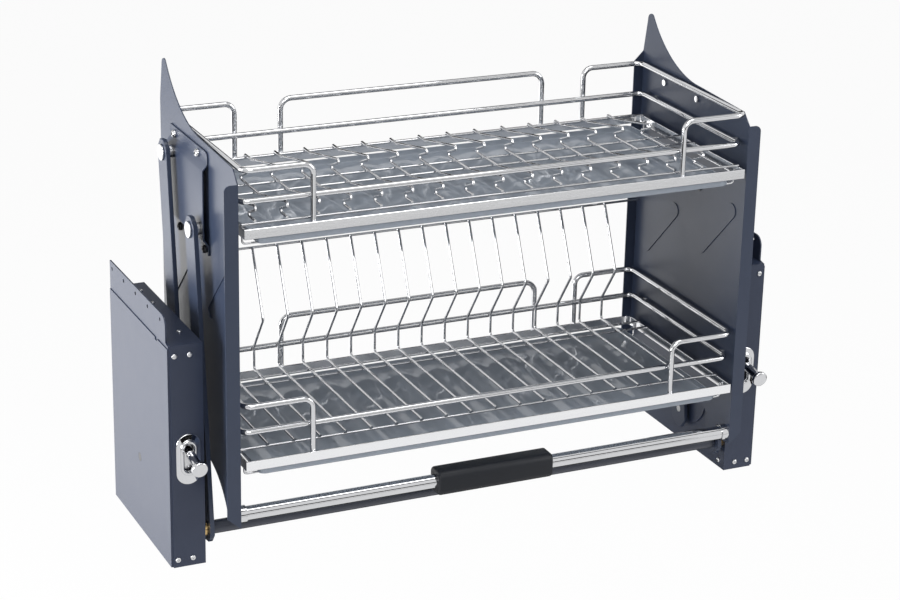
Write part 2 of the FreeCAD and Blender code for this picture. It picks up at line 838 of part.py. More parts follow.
def case():
    body = new_body("Case")
    w = "case_sheet"
    outline = [
        ("0", "0"),
        ("box_depth", "0"),
        ("box_depth", "box_rise"),
        ("case_slope", "box_rise"),
        ("0", "box_rise - case_slope"),
    ]
    inside = [
        (w, w),
        (f"box_depth - {w}", w),
        (f"box_depth - {w}", f"box_rise - {w}"),
        (f"case_slope + {w}", f"box_rise - {w}"),
        (w, f"box_rise - case_slope - {w}"),
    ]
    deep = f"({MOUNT_INNER} - {BOX_INNER})"
    pad(body, draw(body, "CaseOutside", outline), deep)
    pocket(body, draw(body, "CaseInside", inside, lift=deep), f"{deep} - {w}")
    boss = ("boss_reach", "boss_rise")
    pad(body, circles(body, "Boss", [(*boss, "boss_radius", BOSS_SIDES)]), "boss_proud", backwards=True)
    hollow = circles(body, "BossInside", [(*boss, f"boss_radius - {w}", BOSS_SIDES)], lift=w)
    pocket(body, hollow, "boss_proud")
    necks = [(*pivot, BUSH_NECK, ROUND_SIDES) for pivot in (LOWER_FRONT, LOWER_REAR)]
    bushes = circles(body, "BushHoles", necks, lift=w)
    pocket(body, bushes, f"{w} + boss_proud")
    pocket(body, draw(body, "CrankSlot", crank_slot(), lift=w), f"{w} + boss_proud")
    pocket(body, circles(body, "FrontScrewHoles", front_screw_places(LOOSE_HOLE), "YZ_Plane", "box_depth"), w)
    window = slot_outline("slot_rise", ADJUSTER_IN, "slot_wide", "slot_high", "0")
    pocket(body, draw(body, "StemWindow", window, "YZ_Plane", "box_depth"), w)
    top = circles(body, "TopScrewHoles", top_screw_places(LOOSE_HOLE), "XZ_Plane", f"{w} - box_rise")
    pocket(body, top, w)
    side = circles(body, "SideScrewHole", [(*SIDE_SCREW, *LOOSE_HOLE)], lift=w)
    pocket(body, side, w)
    place_left(body, BOX_INNER)
    return keep_both(body, "case")


def crank_slot():
    """The slot that the crank pin swings in, round the rear pivot from rest to the lowered end."""
    outer = f"(crank_radius + {SLOT_HALF})"
    inner = f"(crank_radius - {SLOT_HALF})"
    corners = []
    for degrees, first, radius, turn in (("0", 180, outer, -1), ("swing", 0, inner, 1)):
        middle = swung(LOWER_REAR, "crank_radius", degrees)
        for number in range(END_CHORDS + 1):
            angle = f"({first - number * 180 / END_CHORDS} - ({degrees} - arm_lean))"
            point = (f"{middle[0]} + {SLOT_HALF} * sin({angle})", f"{middle[1]} - {SLOT_HALF} * cos({angle})")
            corners.append((*point, radius, turn) if number == END_CHORDS else point)
    return corners


SCREW_HIGH = "(box_rise - screw_under_top)"
SIDE_SCREW = ("(box_depth - screw_side_from_front)", "screw_side_rise")


def front_screw_places(hole):
    """The holes of the four front screws, as (rise, outboard from the box's inner face, radius, sides)."""
    places = []
    for rise in ("screw_low", SCREW_HIGH):
        for across in ("screw_in", "screw_out"):
            places.append((rise, across, *hole))
    return places


def top_screw_places(hole):
    """The holes of the three top screws, as (reach, outboard from the box's inner face, radius, sides)."""
    front = "(box_depth - screw_top_from_front)"
    return [(reach, "screw_top_in", *hole) for reach in ("screw_top_back", "screw_top_middle", front)]


# The mounting plate: its flange takes the cabinet screws, its folded tabs take the case's screws.
PLUG_STEM = "plug_radius - plate_sheet"


def mount_plate():
    body = new_body("MountPlate")
    m, w = "edge_margin", "plate_sheet"
    front = f"box_depth - {m}"
    flange_front = "(box_depth - flange_from_front)"
    flange_rise = "(box_rise + flange_over)"
    outline = draw(
        body,
        "MountOutline",
        [
            ("0", m),
            (front, m),
            (front, f"box_rise - {m}"),
            (flange_front, f"box_rise + {m}"),
            (flange_front, f"{flange_rise} - flange_corner", "flange_corner", 1),
            (f"{flange_front} - flange_corner", flange_rise),
            ("0", flange_rise),
        ],
    )
    for number in range(1 + int(amount(f"({flange_front} - flange_hole_first) / flange_hole_pitch"))):
        reach = f"flange_hole_first + {number} * flange_hole_pitch"
        add_circle(outline, reach, "box_rise + flange_hole_over", "flange_hole_radius")
    add_outline(outline, regular("plug_reach", "plug_rise", PLUG_STEM, ROUND_SIDES))
    pad(body, outline, w)
    outside = "(box_depth - case_sheet)"
    inside = f"({outside} - {w})"
    under_top = "(box_rise - case_sheet)"
    tabs = {
        "TabLow": box_of(inside, outside, "screw_low - tab_low_margin", "screw_low + tab_high / 2"),
        "TabHigh": box_of(inside, outside, f"{SCREW_HIGH} - tab_high / 2", f"{under_top} - {w} - slip"),
        "TabTop": box_of("tab_top_back", "box_depth - tab_top_from_front", f"{under_top} - {w}", under_top),
    }
    for name, corners in tabs.items():
        pad(body, draw(body, name, corners), "tab_deep", backwards=True)
    inward = f"{BOX_INNER} - {MOUNT_INNER}"
    holes = [(rise, f"{out} + {inward}", *hole) for rise, out, *hole in front_screw_places(THREAD_HOLE)]
    pocket(body, circles(body, "FrontThreads", holes, "YZ_Plane", outside), w)
    holes = [(reach, f"{out} + {inward}", *hole) for reach, out, *hole in top_screw_places(THREAD_HOLE)]
    pocket(body, circles(body, "TopThreads", holes, "XZ_Plane", f"{w} - {under_top}"), w)
    place_left(body, MOUNT_INNER)
    return keep_both(body, "mount_plate")


# The cover: the outer skin against the cabinet, with a notch in its top edge and a plugged hole.
PLUG_AT = ("plug_reach", "plug_rise", MOUNT_OUTER)


def cover():
    body = new_body("Cover")
    m = "edge_margin"
    top = "(box_rise - cover_under)"
    notch_back = "(box_depth - notch_from_front - notch_wide / 2)"
    notch_front = "(box_depth - notch_from_front + notch_wide / 2)"
    outline = draw(
        body,
        "CoverOutline",
        [
            (m, m),
            (f"box_depth - {m}", m),
            (f"box_depth - {m}", top),
            (notch_front, top),
            (notch_front, f"{top} - notch_deep"),
            (notch_back, f"{top} - notch_deep"),
            (notch_back, top),
            (m, top),
        ],
    )
    add_outline(outline, regular("plug_reach", "plug_rise", "plug_radius", ROUND_SIDES))
    pad(body, outline, "cover_sheet")
    place_left(body, MOUNT_OUTER)
    keep_both(body, "cover")
    deep = "(plate_sheet + plug_grip)"
    stem = outboard_prism("PlugStem", PLUG_AT, f"{PLUG_STEM} - running", f"-{deep}", deep)
    head = outboard_prism("PlugHead", PLUG_AT, "plug_radius - running", "0", "cover_sheet")
    keep_group([fused("CoverPlug", [stem, head])], "cover_plugs")


FACING = {
    "front": FreeCAD.Rotation(FreeCAD.Vector(1, 0, 0), 90),
    "up": FreeCAD.Rotation(),
    "inboard": FreeCAD.Rotation(FreeCAD.Vector(0, 1, 0), 90),
    "outboard": FreeCAD.Rotation(FreeCAD.Vector(0, 1, 0), -90),
}


# A screw's hidden shank, its head and its nut have these many faces.
SHANK_SIDES = 4
HEAD_SIDES = 8
NUT_SIDES = 6


def turn_to(item, facing):
    """Point a piece's own third axis to a side."""
    item.Placement = FreeCAD.Placement(item.Placement.Base, FACING[facing])


def screw(name, at, facing, head_radius, head_high, deep, nut_from=None):
    """A screw on a left-hand piece, with its nut where it has one.

    at is (reach, rise, inboard) of the middle of the head's seat.
    """
    shank = prism(name + "Shank", SHANK_SIDES, "screw_radius", f"-({deep})", deep)
    head = prism(name + "Head", HEAD_SIDES, head_radius, "0", head_high)
    pieces = [shank, head]
    if nut_from:
        pieces.append(prism(name + "Nut", NUT_SIDES, "nut_radius", f"-({nut_from}) - nut_high", "nut_high"))
    joined = fused(name, pieces)
    set_at(joined, at)
    turn_to(joined, facing)
    return joined


# The case's screws, driven into the mounting plate's tabs.
def case_screws():
    head = ("screw_head_radius", "screw_head_high", "screw_long")
    screws = []
    for number, (rise, across, _, _) in enumerate(front_screw_places(THREAD_HOLE)):
        at = ("box_depth", rise, f"{BOX_INNER} + {across}")
        screws.append(screw(f"FrontScrew{number}", at, "front", *head))
    for number, (reach, across, _, _) in enumerate(top_screw_places(THREAD_HOLE)):
        at = (reach, "box_rise", f"{BOX_INNER} + {across}")
        screws.append(screw(f"TopScrew{number}", at, "up", *head))
    screws.append(screw("SideScrew", (*SIDE_SCREW, BOX_INNER), "inboard", *head))
    return keep_group(screws, "case_screws")


# The adjuster: an escutcheon with an upright slot, and a slider behind it that anchors the springs.
def adjuster_plate():
    body = new_body("AdjusterPlate")
    front = "box_depth + escutcheon_thick"
    base = slot_outline("escutcheon_rise", "0", "escutcheon_wide", "escutcheon_high", "0")
    pad(body, draw(body, "EscutcheonBase", base, "YZ_Plane", "box_depth"), "escutcheon_thick")
    rim = slot_outline("slot_rise", "0", "rim_wide", "rim_high", "0")
    pad(body, draw(body, "EscutcheonRim", rim, "YZ_Plane", front), "rim_thick")
    slot = slot_outline("slot_rise", "0", "slot_wide", "slot_high", "0")
    slot = draw(body, "EscutcheonSlot", slot, "YZ_Plane", f"{front} + rim_thick")
    pocket(body, slot, "escutcheon_thick + rim_thick")
    place_left(body, ADJUSTER)
    return keep_group([body], "adjuster_plates")


ANCHOR = ("(box_depth - anchor_from_front)", "anchor_rise")


def along_stem(far, off):
    """A point of the stem in (reach, rise), down its axis from the box's front and off it upwards."""
    reach = f"box_depth + ({far}) * cos(lever_tilt) + ({off}) * sin(lever_tilt)"
    rise = f"stem_exit_rise - ({far}) * sin(lever_tilt) + ({off}) * cos(lever_tilt)"
    return reach, rise


def round_along(body, name, start, finish, radius):
    """Add a round piece with faces along a line of the body's own first plane."""
    return sweep(body, draw(body, name, [start, finish], closed=False), ROUND_SIDES, radius)


def adjuster_slider():
    body = new_body("Slider")
    back = "(box_depth - case_sheet - plate_sheet - slip - slider_sheet)"
    low = "stem_exit_rise - slider_high / 2"
    block = box_of(back, f"{back} + slider_sheet", low, f"{low} + slider_high")
    pad(body, draw(body, "SliderBlock", block, lift="-slider_wide / 2"), "slider_wide")
    strap = box_of(back, f"{back} + slider_sheet", "anchor_rise - strap_wide / 2", f"{low} + slider_sheet")
    pad(body, draw(body, "SliderStrap", strap, lift="-strap_wide / 2"), "strap_wide")
    half = "strap_wide / 2"
    lug = box_of(f"{ANCHOR[0]} - {half}", back, f"anchor_rise - {half}", f"anchor_rise + {half}")
    pad(body, draw(body, "SliderLug", lug, lift="-lug_thick / 2"), "lug_thick")
    place = (*ANCHOR, "anchor_pin_radius", ROUND_SIDES)
    pad(body, circles(body, "AnchorPin", [place], lift="-anchor_pin_long / 2"), "anchor_pin_long")
    start = f"({back} - box_depth) / cos(lever_tilt) + slider_sheet / 2"
    round_along(body, "Stem", along_stem(start, "0"), along_stem("knob_from - slip", "0"), "stem_radius")
    place_left(body, ADJUSTER)
    return keep_both(body, "adjuster_slider")


# The knob: a neck that carries on the slider's stem, and a disc to push it up and down by.
def adjuster_knob():
    body = new_body("Knob")
    levels = [("Neck", "knob_neck_radius", "knob_neck_long"), ("Disc", "knob_radius", "knob_thick")]
    start = "knob_from"
    for name, radius, long in levels:
        finish = f"{start} + {long}"
        round_along(body, name, along_stem(start, "0"), along_stem(finish, "0"), radius)
        start = finish
    place_left(body, ADJUSTER)
    return keep_both(body, "adjuster_knob")


# The springs pull the arm's tail towards the adjuster, which lifts the rack. The eyes in their tongues are
# six-sided.
EYE_SIDES = 6
SPRING_END = swung(LOWER_REAR, "crank_radius", "0")
SPRING_LONG = f"sqrt(({ANCHOR[0]} - ({SPRING_END[0]})) ^ 2 + ({ANCHOR[1]} - ({SPRING_END[1]})) ^ 2)"


def along_spring(far, off):
    """A point of a spring, from the crank pin towards the anchor and off its axis upwards."""
    run = f"({ANCHOR[0]} - ({SPRING_END[0]})) / {SPRING_LONG}"
    climb = f"({ANCHOR[1]} - ({SPRING_END[1]})) / {SPRING_LONG}"
    reach = f"{SPRING_END[0]} + ({far}) * {run} - ({off}) * {climb}"
    rise = f"{SPRING_END[1]} + ({far}) * {climb} + ({off}) * {run}"
    return reach, rise


def balance_springs():
    springs = []
    for number, side in enumerate(("-", "+")):
        body = new_body(f"Spring{number}")
        half = "tongue_wide / 2"
        tongue = draw(
            body,
            f"SpringTongue{number}",
            [
                along_spring(f"-{half}", f"-{half}"),
                along_spring(f"{SPRING_LONG} + {half}", f"-{half}"),
                along_spring(f"{SPRING_LONG} + {half}", half),
                along_spring(f"-{half}", half),
            ],
            lift="-tongue_thick / 2",
        )
        for pin, at in (("crank", SPRING_END), ("anchor", ANCHOR)):
            eye = around(f"{pin}_pin_radius + running", EYE_SIDES)
            add_outline(tongue, regular(*at, eye, EYE_SIDES))
        pad(body, tongue, "tongue_thick")
        last = f"{SPRING_LONG} - coil_clear"
        ends = (along_spring("coil_clear", "0"), along_spring(last, "0"))
        round_along(body, f"SpringCoil{number}", *ends, "coil_radius")
        place_left(body, f"{ADJUSTER} {side} coil_apart / 2")
        springs.append(body)
    group = doc.addObject("Part::Compound", "BalanceSprings")
    group.Links = springs
    return keep_both(group, "balance_springs")


# Rubber buffers that the crank pin meets at both ends of its swing.
def stop_buffers():
    apart = "(2 * asin((crank_pin_radius + buffer_radius + slip) / (2 * crank_radius)) / 1 deg)"
    buffers = []
    for name, degrees, seat in (
        ("RestBuffer", f"-({apart})", f"{BOX_INNER} + case_sheet - boss_proud"),
        ("LoweredBuffer", f"(swing + {apart})", f"{BOX_INNER} + case_sheet"),
    ):
        place = swung(LOWER_REAR, "crank_radius", degrees)
        buffers.append(outboard_prism(name, (*place, seat), "buffer_radius", "0", "buffer_long"))
    return keep_group(buffers, "stop_buffers")


# Upper pivots: pins fixed in the brackets, with a spacer on each between bracket and arm.
SLEEVE_SIDES = 6


def upper_pivots():
    pins, spacers = [], []
    for name, pivot in (("UpperFront", UPPER_FRONT), ("UpperRear", UPPER_REAR)):
        at = (*pivot, f"{ARM_OUTER} + slip")
        deep = f"({ARM_OUTER} + slip - {BRACKET_OUTER} + bracket_sheet)"
        shank = outboard_rod(name + "Shank", at, "upper_pin_radius", f"-{deep}", deep)
        head = outboard_prism(name + "Head", at, "upper_pin_head", "0", "upper_pin_washer")
        pins.append(fused(name + "Pin", [shank, head]))
        at = (*pivot, BRACKET_OUTER)
        long = f"({ARM_INNER} - {BRACKET_OUTER} - slip)"
        sleeve = outboard_prism(name + "Sleeve", at, "spacer_radius", "0", long)
        fit = around("upper_pin_radius + running", SLEEVE_SIDES)
        bore = outboard_prism(name + "SleeveBore", at, fit, "0", long, SLEEVE_SIDES)
        spacers.append(bored(name + "Spacer", sleeve, bore))
    keep_group(pins, "upper_pivot_pins")
    return keep_group(spacers, "pivot_spacers")


# The screws and bolts that hold each bracket to its panel, with their nuts on the inside.
def bracket_fasteners():
    through = "bracket_sheet + panel_sheet"
    for kind in ("screw", "bolt"):
        items = []
        for end in ("back", "front"):
            at = (f"bracket_{kind}_{end}", f"bracket_{kind}_rise", f"{PANEL_OUTER} + bracket_sheet")
            deep = f"{through} + nut_high"
            high = f"{kind}_head_tall"
            items.append(screw(f"Bracket{kind}{end}", at, "outboard", "button_radius", high, deep, through))
        keep_group(items, f"bracket_{kind}s")


# Baskets. Their pieces are drawn from the middle of the rack: +X right, +Y back, with rise upwards.
LOOP_FRONT = "(overall_depth - frame_bar_thick - weld_gap - rail_radius)"
LOOP_BACK = "(frame_back - weld_gap - rail_radius)"
RAIL_SIDE = f"({BASKET_SIDE} - slip - weld_gap)"
BASKETS = ("upper", "lower")


def back_from(reach):
    """The row's own Y of a reach."""
    return f"({BACK_PLANE} - ({reach}))"


def basket_frame(basket):
    body = new_body(f"{basket.title()}Frame")
    rise = f"{basket}_frame_rise"
    for name, inset, corner in (("Outer", "0", "frame_corner"), ("Inner", "frame_bar_thick", None)):
        side = f"({BASKET_SIDE} - {inset})"
        front = back_from(f"overall_depth - {inset}")
        back = back_from(f"frame_back + {inset}")
        bend = corner or "(frame_corner - frame_bar_thick)"
        outline = draw(
            body,
            f"{basket.title()}Frame{name}",
            [
                (f"-{side}", front),
                (side, front),
                (side, f"{back} - {bend}", bend, 1),
                (f"{side} - {bend}", back),
                (f"{bend} - {side}", back, bend, 1),
                (f"-{side}", f"{back} - {bend}"),
            ],
            lift=rise if corner else f"{rise} + frame_bar_high",
        )
        if corner:
            pad(body, outline, "frame_bar_high")
        else:
            pocket(body, outline, "frame_bar_high")
    return keep(body, f"{basket}_basket_frame")


def sweep(body, path, sides, radius, turn=0):
    """Carry a regular section along a path sketch; turn is the angle of its first corner."""
    outline = regular("0", "0", radius, sides, turn)
    section = draw(body, path.Name + "Section", outline, support=(path, "Edge1"))
    pipe = body.newObject("PartDesign::AdditivePipe", path.Name + "Pipe")
    pipe.Profile = section
    pipe.Spine = (path, [""])
    pipe.Transition = "Right corner"
    return pipe


# Rails, rods and studs have this many flats, and the rails' flats stand on their own radius.
BAR_SIDES = 8


def rail(body, name, corners, bend, plane, lift, closed=False):
    """Bend a rail along square corners."""
    path = draw(body, name, rounded(corners, bend, closed), plane, lift, closed)
    return sweep(body, path, BAR_SIDES, around("rail_radius", BAR_SIDES), 180 / BAR_SIDES)


def rounded(corners, bend, closed):
    """Ease the square corners of a path with two chords each."""
    eased = []
    for number, (across, up) in enumerate(corners):
        if not closed and number in (0, len(corners) - 1):
            eased.append((across, up))
            continue
        ways = []
        for other in (corners[number - 1], corners[(number + 1) % len(corners)]):
            run = [amount(other[axis]) - amount((across, up)[axis]) for axis in (0, 1)]
            ways.append([0 if abs(step) < 0.001 else math.copysign(1, step) for step in run])
        for angle in (0, 45, 90):
            before, after = f"{bend} * (1 - sin({angle}))", f"{bend} * (1 - cos({angle}))"
            point = [
                f"{middle} + {back} * {before} + {on} * {after}"
                for middle, back, on in zip((across, up), *ways)
            ]
            eased.append(tuple(point))
    return eased


def basket_rails(basket):
    frame_top = f"({basket}_frame_rise + frame_bar_high)"
    top = f"({frame_top} + {basket}_loop_over)"
    low = f"({frame_top} - leg_sunk)"
    front, back = back_from(LOOP_FRONT), back_from(LOOP_BACK)
    title = basket.title()
    right = new_body(f"{title}SideLoop")
    leg = f"({BASKET_SIDE} - loop_leg_from_side)"
    start = f"{leg} + 2 * leg_bend"
    for end, lift in (("Front", f"-{front}"), ("Back", f"-{back}")):
        corners = [(leg, low), (leg, top), (start, top)]
        rail(right, f"{title}{end}Leg", corners, "leg_bend", "XZ_Plane", lift)
    corners = [(start, front), (RAIL_SIDE, front), (RAIL_SIDE, back), (start, back)]
    rail(right, f"{title}SidePath", corners, "rail_bend", "XY_Plane", top)
    left = doc.addObject("Part::Mirroring", f"{title}SideLoopMirror")
    left.Source = right
    left.Base = FreeCAD.Vector()
    left.Normal = FreeCAD.Vector(1, 0, 0)
    middle = new_body(f"{title}BackLoop")
    side = f"({BASKET_SIDE} - loop_back_from_side)"
    corners = [(f"-{side}", low), (f"-{side}", top), (side, top), (side, low)]
    rail(middle, f"{title}BackPath", corners, "leg_bend", "XZ_Plane", f"-{back}")
    ring = new_body(f"{title}Ring")
    inward = "(2 * rail_radius + weld_gap)"
    front, back = back_from(f"{LOOP_FRONT} - {inward}"), back_from(f"{LOOP_BACK} + {inward}")
    corners = box_of(f"-{RAIL_SIDE}", RAIL_SIDE, front, back)
    level = f"{frame_top} + {basket}_rail_over"
    rail(ring, f"{title}RingPath", corners, "rail_bend", "XY_Plane", level, closed=True)
    return keep_group([right, left, middle, ring], f"{basket}_basket_rails", mirrored=False)


def rod(name, radius, half, reach, rise):
    """A straight rod across the rack."""
    item = prism(name, BAR_SIDES, radius, "0", f"2 * ({half})")
    lie_across(item, f"-({half})", back_from(reach), rise)
    return item


def floor_rods(basket, reaches):
    rise = f"{basket}_frame_rise + frame_bar_high + rod_radius"
    half = f"{BASKET_SIDE} - frame_bar_thick / 2"
    rods = []
    for number, reach in enumerate(reaches):
        rods.append(rod(f"{basket.title()}Rod{number}", "rod_radius", half, reach, rise))
    return keep_group(rods, f"{basket}_floor_rods", mirrored=False)


# The wires are bent from stock with few faces, since they repeat.
WIRE_SIDES = 4


def wire_row(name, kind, corners):
    """Bend one wire in (back, rise) and repeat it across the basket, between the row's two margins."""
    body = new_body(name)
    count = f"{kind}_wires"
    long = f"(2 * {BASKET_SIDE} - {kind}_first_margin - {kind}_last_margin)"
    first = f"{kind}_first_margin - {BASKET_SIDE}"
    path = draw(body, name + "Path", corners, "YZ_Plane", first, closed=False)
    pipe = sweep(body, path, WIRE_SIDES, "wire_radius")
    pattern = body.newObject("PartDesign::LinearPattern", name + "Row")
    pattern.Originals = [pipe]
    pattern.Direction = (next(i for i in body.Origin.OriginFeatures if i.Role == "X_Axis"), [""])
    bind(pattern, "Length", long)
    bind(pattern, "Occurrences", count)
    body.Tip = pattern
    return keep(body, count)


# The bowl wires: each has two saw teeth that bowls lean on.
def bowl_wires():
    base = "(upper_frame_rise + frame_bar_high + 2 * rod_radius + wire_radius)"
    hook = "upper_back_rod - rod_radius - wire_radius - weld_gap"
    corners = [(hook, "-hook_drop"), (hook, "0")]
    for start in ("tooth_start", "tooth_start + tooth_second"):
        peak = f"{start} + tooth_run"
        valley = f"{peak} - tooth_back"
        corners += [
            (start, "0"),
            (f"{peak} - tooth_nose / 2", "tooth_high"),
            (peak, "tooth_high - tooth_nose"),
            (valley, "tooth_nose"),
            (f"{valley} + tooth_nose / 2", "0"),
        ]
    corners.append(("bowl_front", "0"))
    corners = [(back_from(reach), f"{base} + {rise}") for reach, rise in corners]
    return wire_row("BowlWires", "bowl", corners)


# The plate wires: flat under the plates, then up behind them with a knee.
def plate_wires():
    base = "(lower_frame_rise + frame_bar_high + 2 * rod_radius + wire_radius)"
    corners = [
        ("plate_front", base),
        ("plate_foot", base),
        ("plate_foot", "plate_knee_rise"),
        ("plate_lean_reach", "plate_lean_rise"),
        ("plate_top_reach", "plate_top_rise"),
    ]
    corners = [(back_from(reach), rise) for reach, rise in corners]
    wire_row("PlateWires", "plate", corners)
    behind = "plate_top_reach - wire_radius - rod_radius"
    top = rod("PlateTopRod", "rod_radius", f"{PANEL_INNER} - slip", behind, "plate_top_rise - rod_radius")
    return keep(top, "plate_top_rod")


# Short studs weld the baskets' middle rails to the panels.
def basket_studs():
    start = f"({RAIL_SIDE} + rail_radius)"
    inward = "2 * rail_radius + weld_gap + stud_from_end"
    studs = []
    for basket in BASKETS:
        rise = f"{basket}_frame_rise + frame_bar_high + {basket}_rail_over"
        for end, reach in (("Front", f"{LOOP_FRONT} - ({inward})"), ("Back", f"{LOOP_BACK} + {inward}")):
            name = f"{basket.title()}{end}Stud"
            stud = prism(name, BAR_SIDES, "stud_radius", "0", f"{PANEL_INNER} - {start}")
            lie_across(stud, f"-{PANEL_INNER}", back_from(reach), rise)
            studs.append(stud)
    return keep_group(studs, "basket_studs")


def tray_top(basket):
    return f"({basket}_frame_rise - tray_drop)"


# The drip trays: shallow pans with ripples across their floor, which slide out to the front.
def tray(basket):
    body = new_body(f"{basket.title()}Tray")
    low = f"({tray_top(basket)} - tray_deep)"
    for name, inset in (("Outer", "0"), ("Inner", "tray_wall")):
        side = f"({BASKET_SIDE} - tray_from_side - {inset})"
        bend = f"(tray_corner - {inset})"
        front = back_from(f"tray_front - {inset}")
        back = back_from(f"tray_back + {inset}")
        corners = [(f"-{side}", front), (side, front), (side, back), (f"-{side}", back)]
        level = low if name == "Outer" else tray_top(basket)
        outline = draw(body, f"{basket.title()}Tray{name}", rounded(corners, bend, True), lift=level)
        if name == "Outer":
            pad(body, outline, "tray_deep")
        else:
            pocket(body, outline, "tray_deep - tray_wall")
    pitch = f"(2 * ({BASKET_SIDE} - tray_from_side - tray_corner) / tray_ripples)"
    first = f"-(tray_ripples - 1) * {pitch} / 2"
    corners = box_of(
        f"{first} - tray_ripple_wide / 2",
        f"{first} + tray_ripple_wide / 2",
        back_from("tray_front - 2 * tray_corner"),
        back_from("tray_back + 2 * tray_corner"),
    )
    ripple = draw(body, f"{basket.title()}Ripple", corners, lift=f"{low} + tray_wall")
    ripple = pad(body, ripple, "tray_ripple_high")
    pattern = body.newObject("PartDesign::LinearPattern", f"{basket.title()}Ripples")
    pattern.Originals = [ripple]
    pattern.Direction = (next(i for i in body.Origin.OriginFeatures if i.Role == "X_Axis"), [""])
    bind(pattern, "Length", f"(tray_ripples - 1) * {pitch}")
    bind(pattern, "Occurrences", "tray_ripples")
    body.Tip = pattern
    return keep(body, f"{basket}_tray")


# Wire hangers welded inside the frame carry the tray.
HANGER_SIDES = 6


def tray_hangers(basket):
    hangers = []
    leg_at = f"({BASKET_SIDE} - frame_bar_thick - weld_gap - hanger_radius)"
    foot = f"({tray_top(basket)} - tray_deep - slip - hanger_radius)"
    for end in ("first", "front"):
        body = new_body(f"{basket.title()}Hanger{end}")
        path = draw(
            body,
            f"{basket.title()}HangerPath{end}",
            [
                (f"-{leg_at}", f"{basket}_frame_rise + hanger_up"),
                (f"-{leg_at}", foot),
                (f"hanger_from_side - {BASKET_SIDE}", foot),
            ],
            "XZ_Plane",
            f"-{back_from('hanger_' + end)}",
            closed=False,
        )
        sweep(body, path, HANGER_SIDES, "hanger_radius")
        hangers.append(body)
    return keep_group(hangers, f"{basket}_tray_hangers")


# The pull handle: a tube between the panels in two collars, with a rounded grip in the middle.
HANDLE_SIDES = 16


def handle():
    floor = "handle_collar_floor"
    at = ("handle_reach", "handle_rise")
    round_tube("handle_tube", "handle_radius", "handle_wall", f"({PANEL_INNER} - {floor} - slip)", at)
    collar = new_body("HandleCollar")
    rim = (*at, "handle_collar_radius", HANDLE_SIDES)
    inner = (*at, around("handle_radius + running", HANDLE_SIDES), HANDLE_SIDES)
    deep = f"(handle_collar_long - {floor})"
    pad(collar, circles(collar, "CollarRing", [rim, inner]), deep)
    pad(collar, circles(collar, "CollarFloor", [rim, (*at, *LOOSE_HOLE)], lift=deep), floor)
    place_left(collar, f"{PANEL_INNER} - handle_collar_long")
    keep_group([collar], "handle_collars")
    through = f"{floor} + panel_sheet"
    head = ("screw_head_radius", "screw_head_high")
    fixing = screw("HandleScrew", (*at, PANEL_OUTER), "outboard", *head, f"{through} + nut_high", through)
    keep_group([fixing], "handle_screws")
    grip = new_body("Grip")
    tall, deep = "grip_high / 2", "grip_deep / 2"
    up, back = "handle_rise", back_from("handle_reach")
    low, top, front, rear = (f"{up} - {tall}", f"{up} + {tall}", f"{back} - {deep}", f"{back} + {deep}")
    outline = draw(
        grip,
        "GripOutline",
        [
            (f"{front} + grip_round", low),
            (f"{rear} - grip_round", low, "grip_round", 1),
            (rear, f"{low} + grip_round"),
            (rear, f"{top} - grip_round", "grip_round", 1),
            (f"{rear} - grip_round", top),
            (f"{front} + grip_round", top, "grip_round", 1),
            (front, f"{top} - grip_round"),
            (front, f"{low} + grip_round", "grip_round", 1),
        ],
        "YZ_Plane",
        "-grip_long / 2",
    )
    add_outline(outline, regular(back, up, *inner[2:]))
    pad(grip, outline, "grip_long")
    return keep(grip, "handle_grip")


def build_rack():
    for piece in (case, mount_plate, cover, case_screws, adjuster_plate, adjuster_slider, adjuster_knob):
        piece()
    for piece in (front_arm, rear_arm, lower_pivots, cross_tube, balance_springs, stop_buffers):
        piece()
    for piece in (panel, bracket, bracket_fasteners, upper_pivots):
        piece()
    for basket in BASKETS:
        basket_frame(basket)
        basket_rails(basket)
        tray(basket)
        tray_hangers(basket)
    floor_rods("upper", ["upper_back_rod", "upper_rod_first", "upper_rod_second", "upper_front_rod"])
    floor_rods("lower", ["lower_rod_first", "lower_rod_second", "lower_front_rod"])
    for piece in (bowl_wires, plate_wires, basket_studs, handle):
        piece()
    doc.recompute()


def check_rack():
    """Stop before anything is written if an object failed or a sub-part isn't a sound solid."""
    for item in doc.Objects:
        if {"Invalid", "Error"} & set(item.State):
            raise RuntimeError(f"{item.Name} is {item.State}")
    for item in SUB_PARTS:
        if item.Shape.isNull() or not item.Shape.Solids or not item.Shape.isValid():
            raise RuntimeError(f"{item.Label} has no sound solid")


build_rack()
check_rack()
os.makedirs("parts", exist_ok=True)
for item in SUB_PARTS:
    item.Shape.exportStep(f"parts/{item.Label}.step")
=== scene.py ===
"""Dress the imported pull-down dish rack: its sheet work, wire work, fittings, finishes and studio."""

import json
import logging
import math
from dataclasses import dataclass
from enum import Enum

import bmesh
import bpy
from mathutils import Matrix, Vector

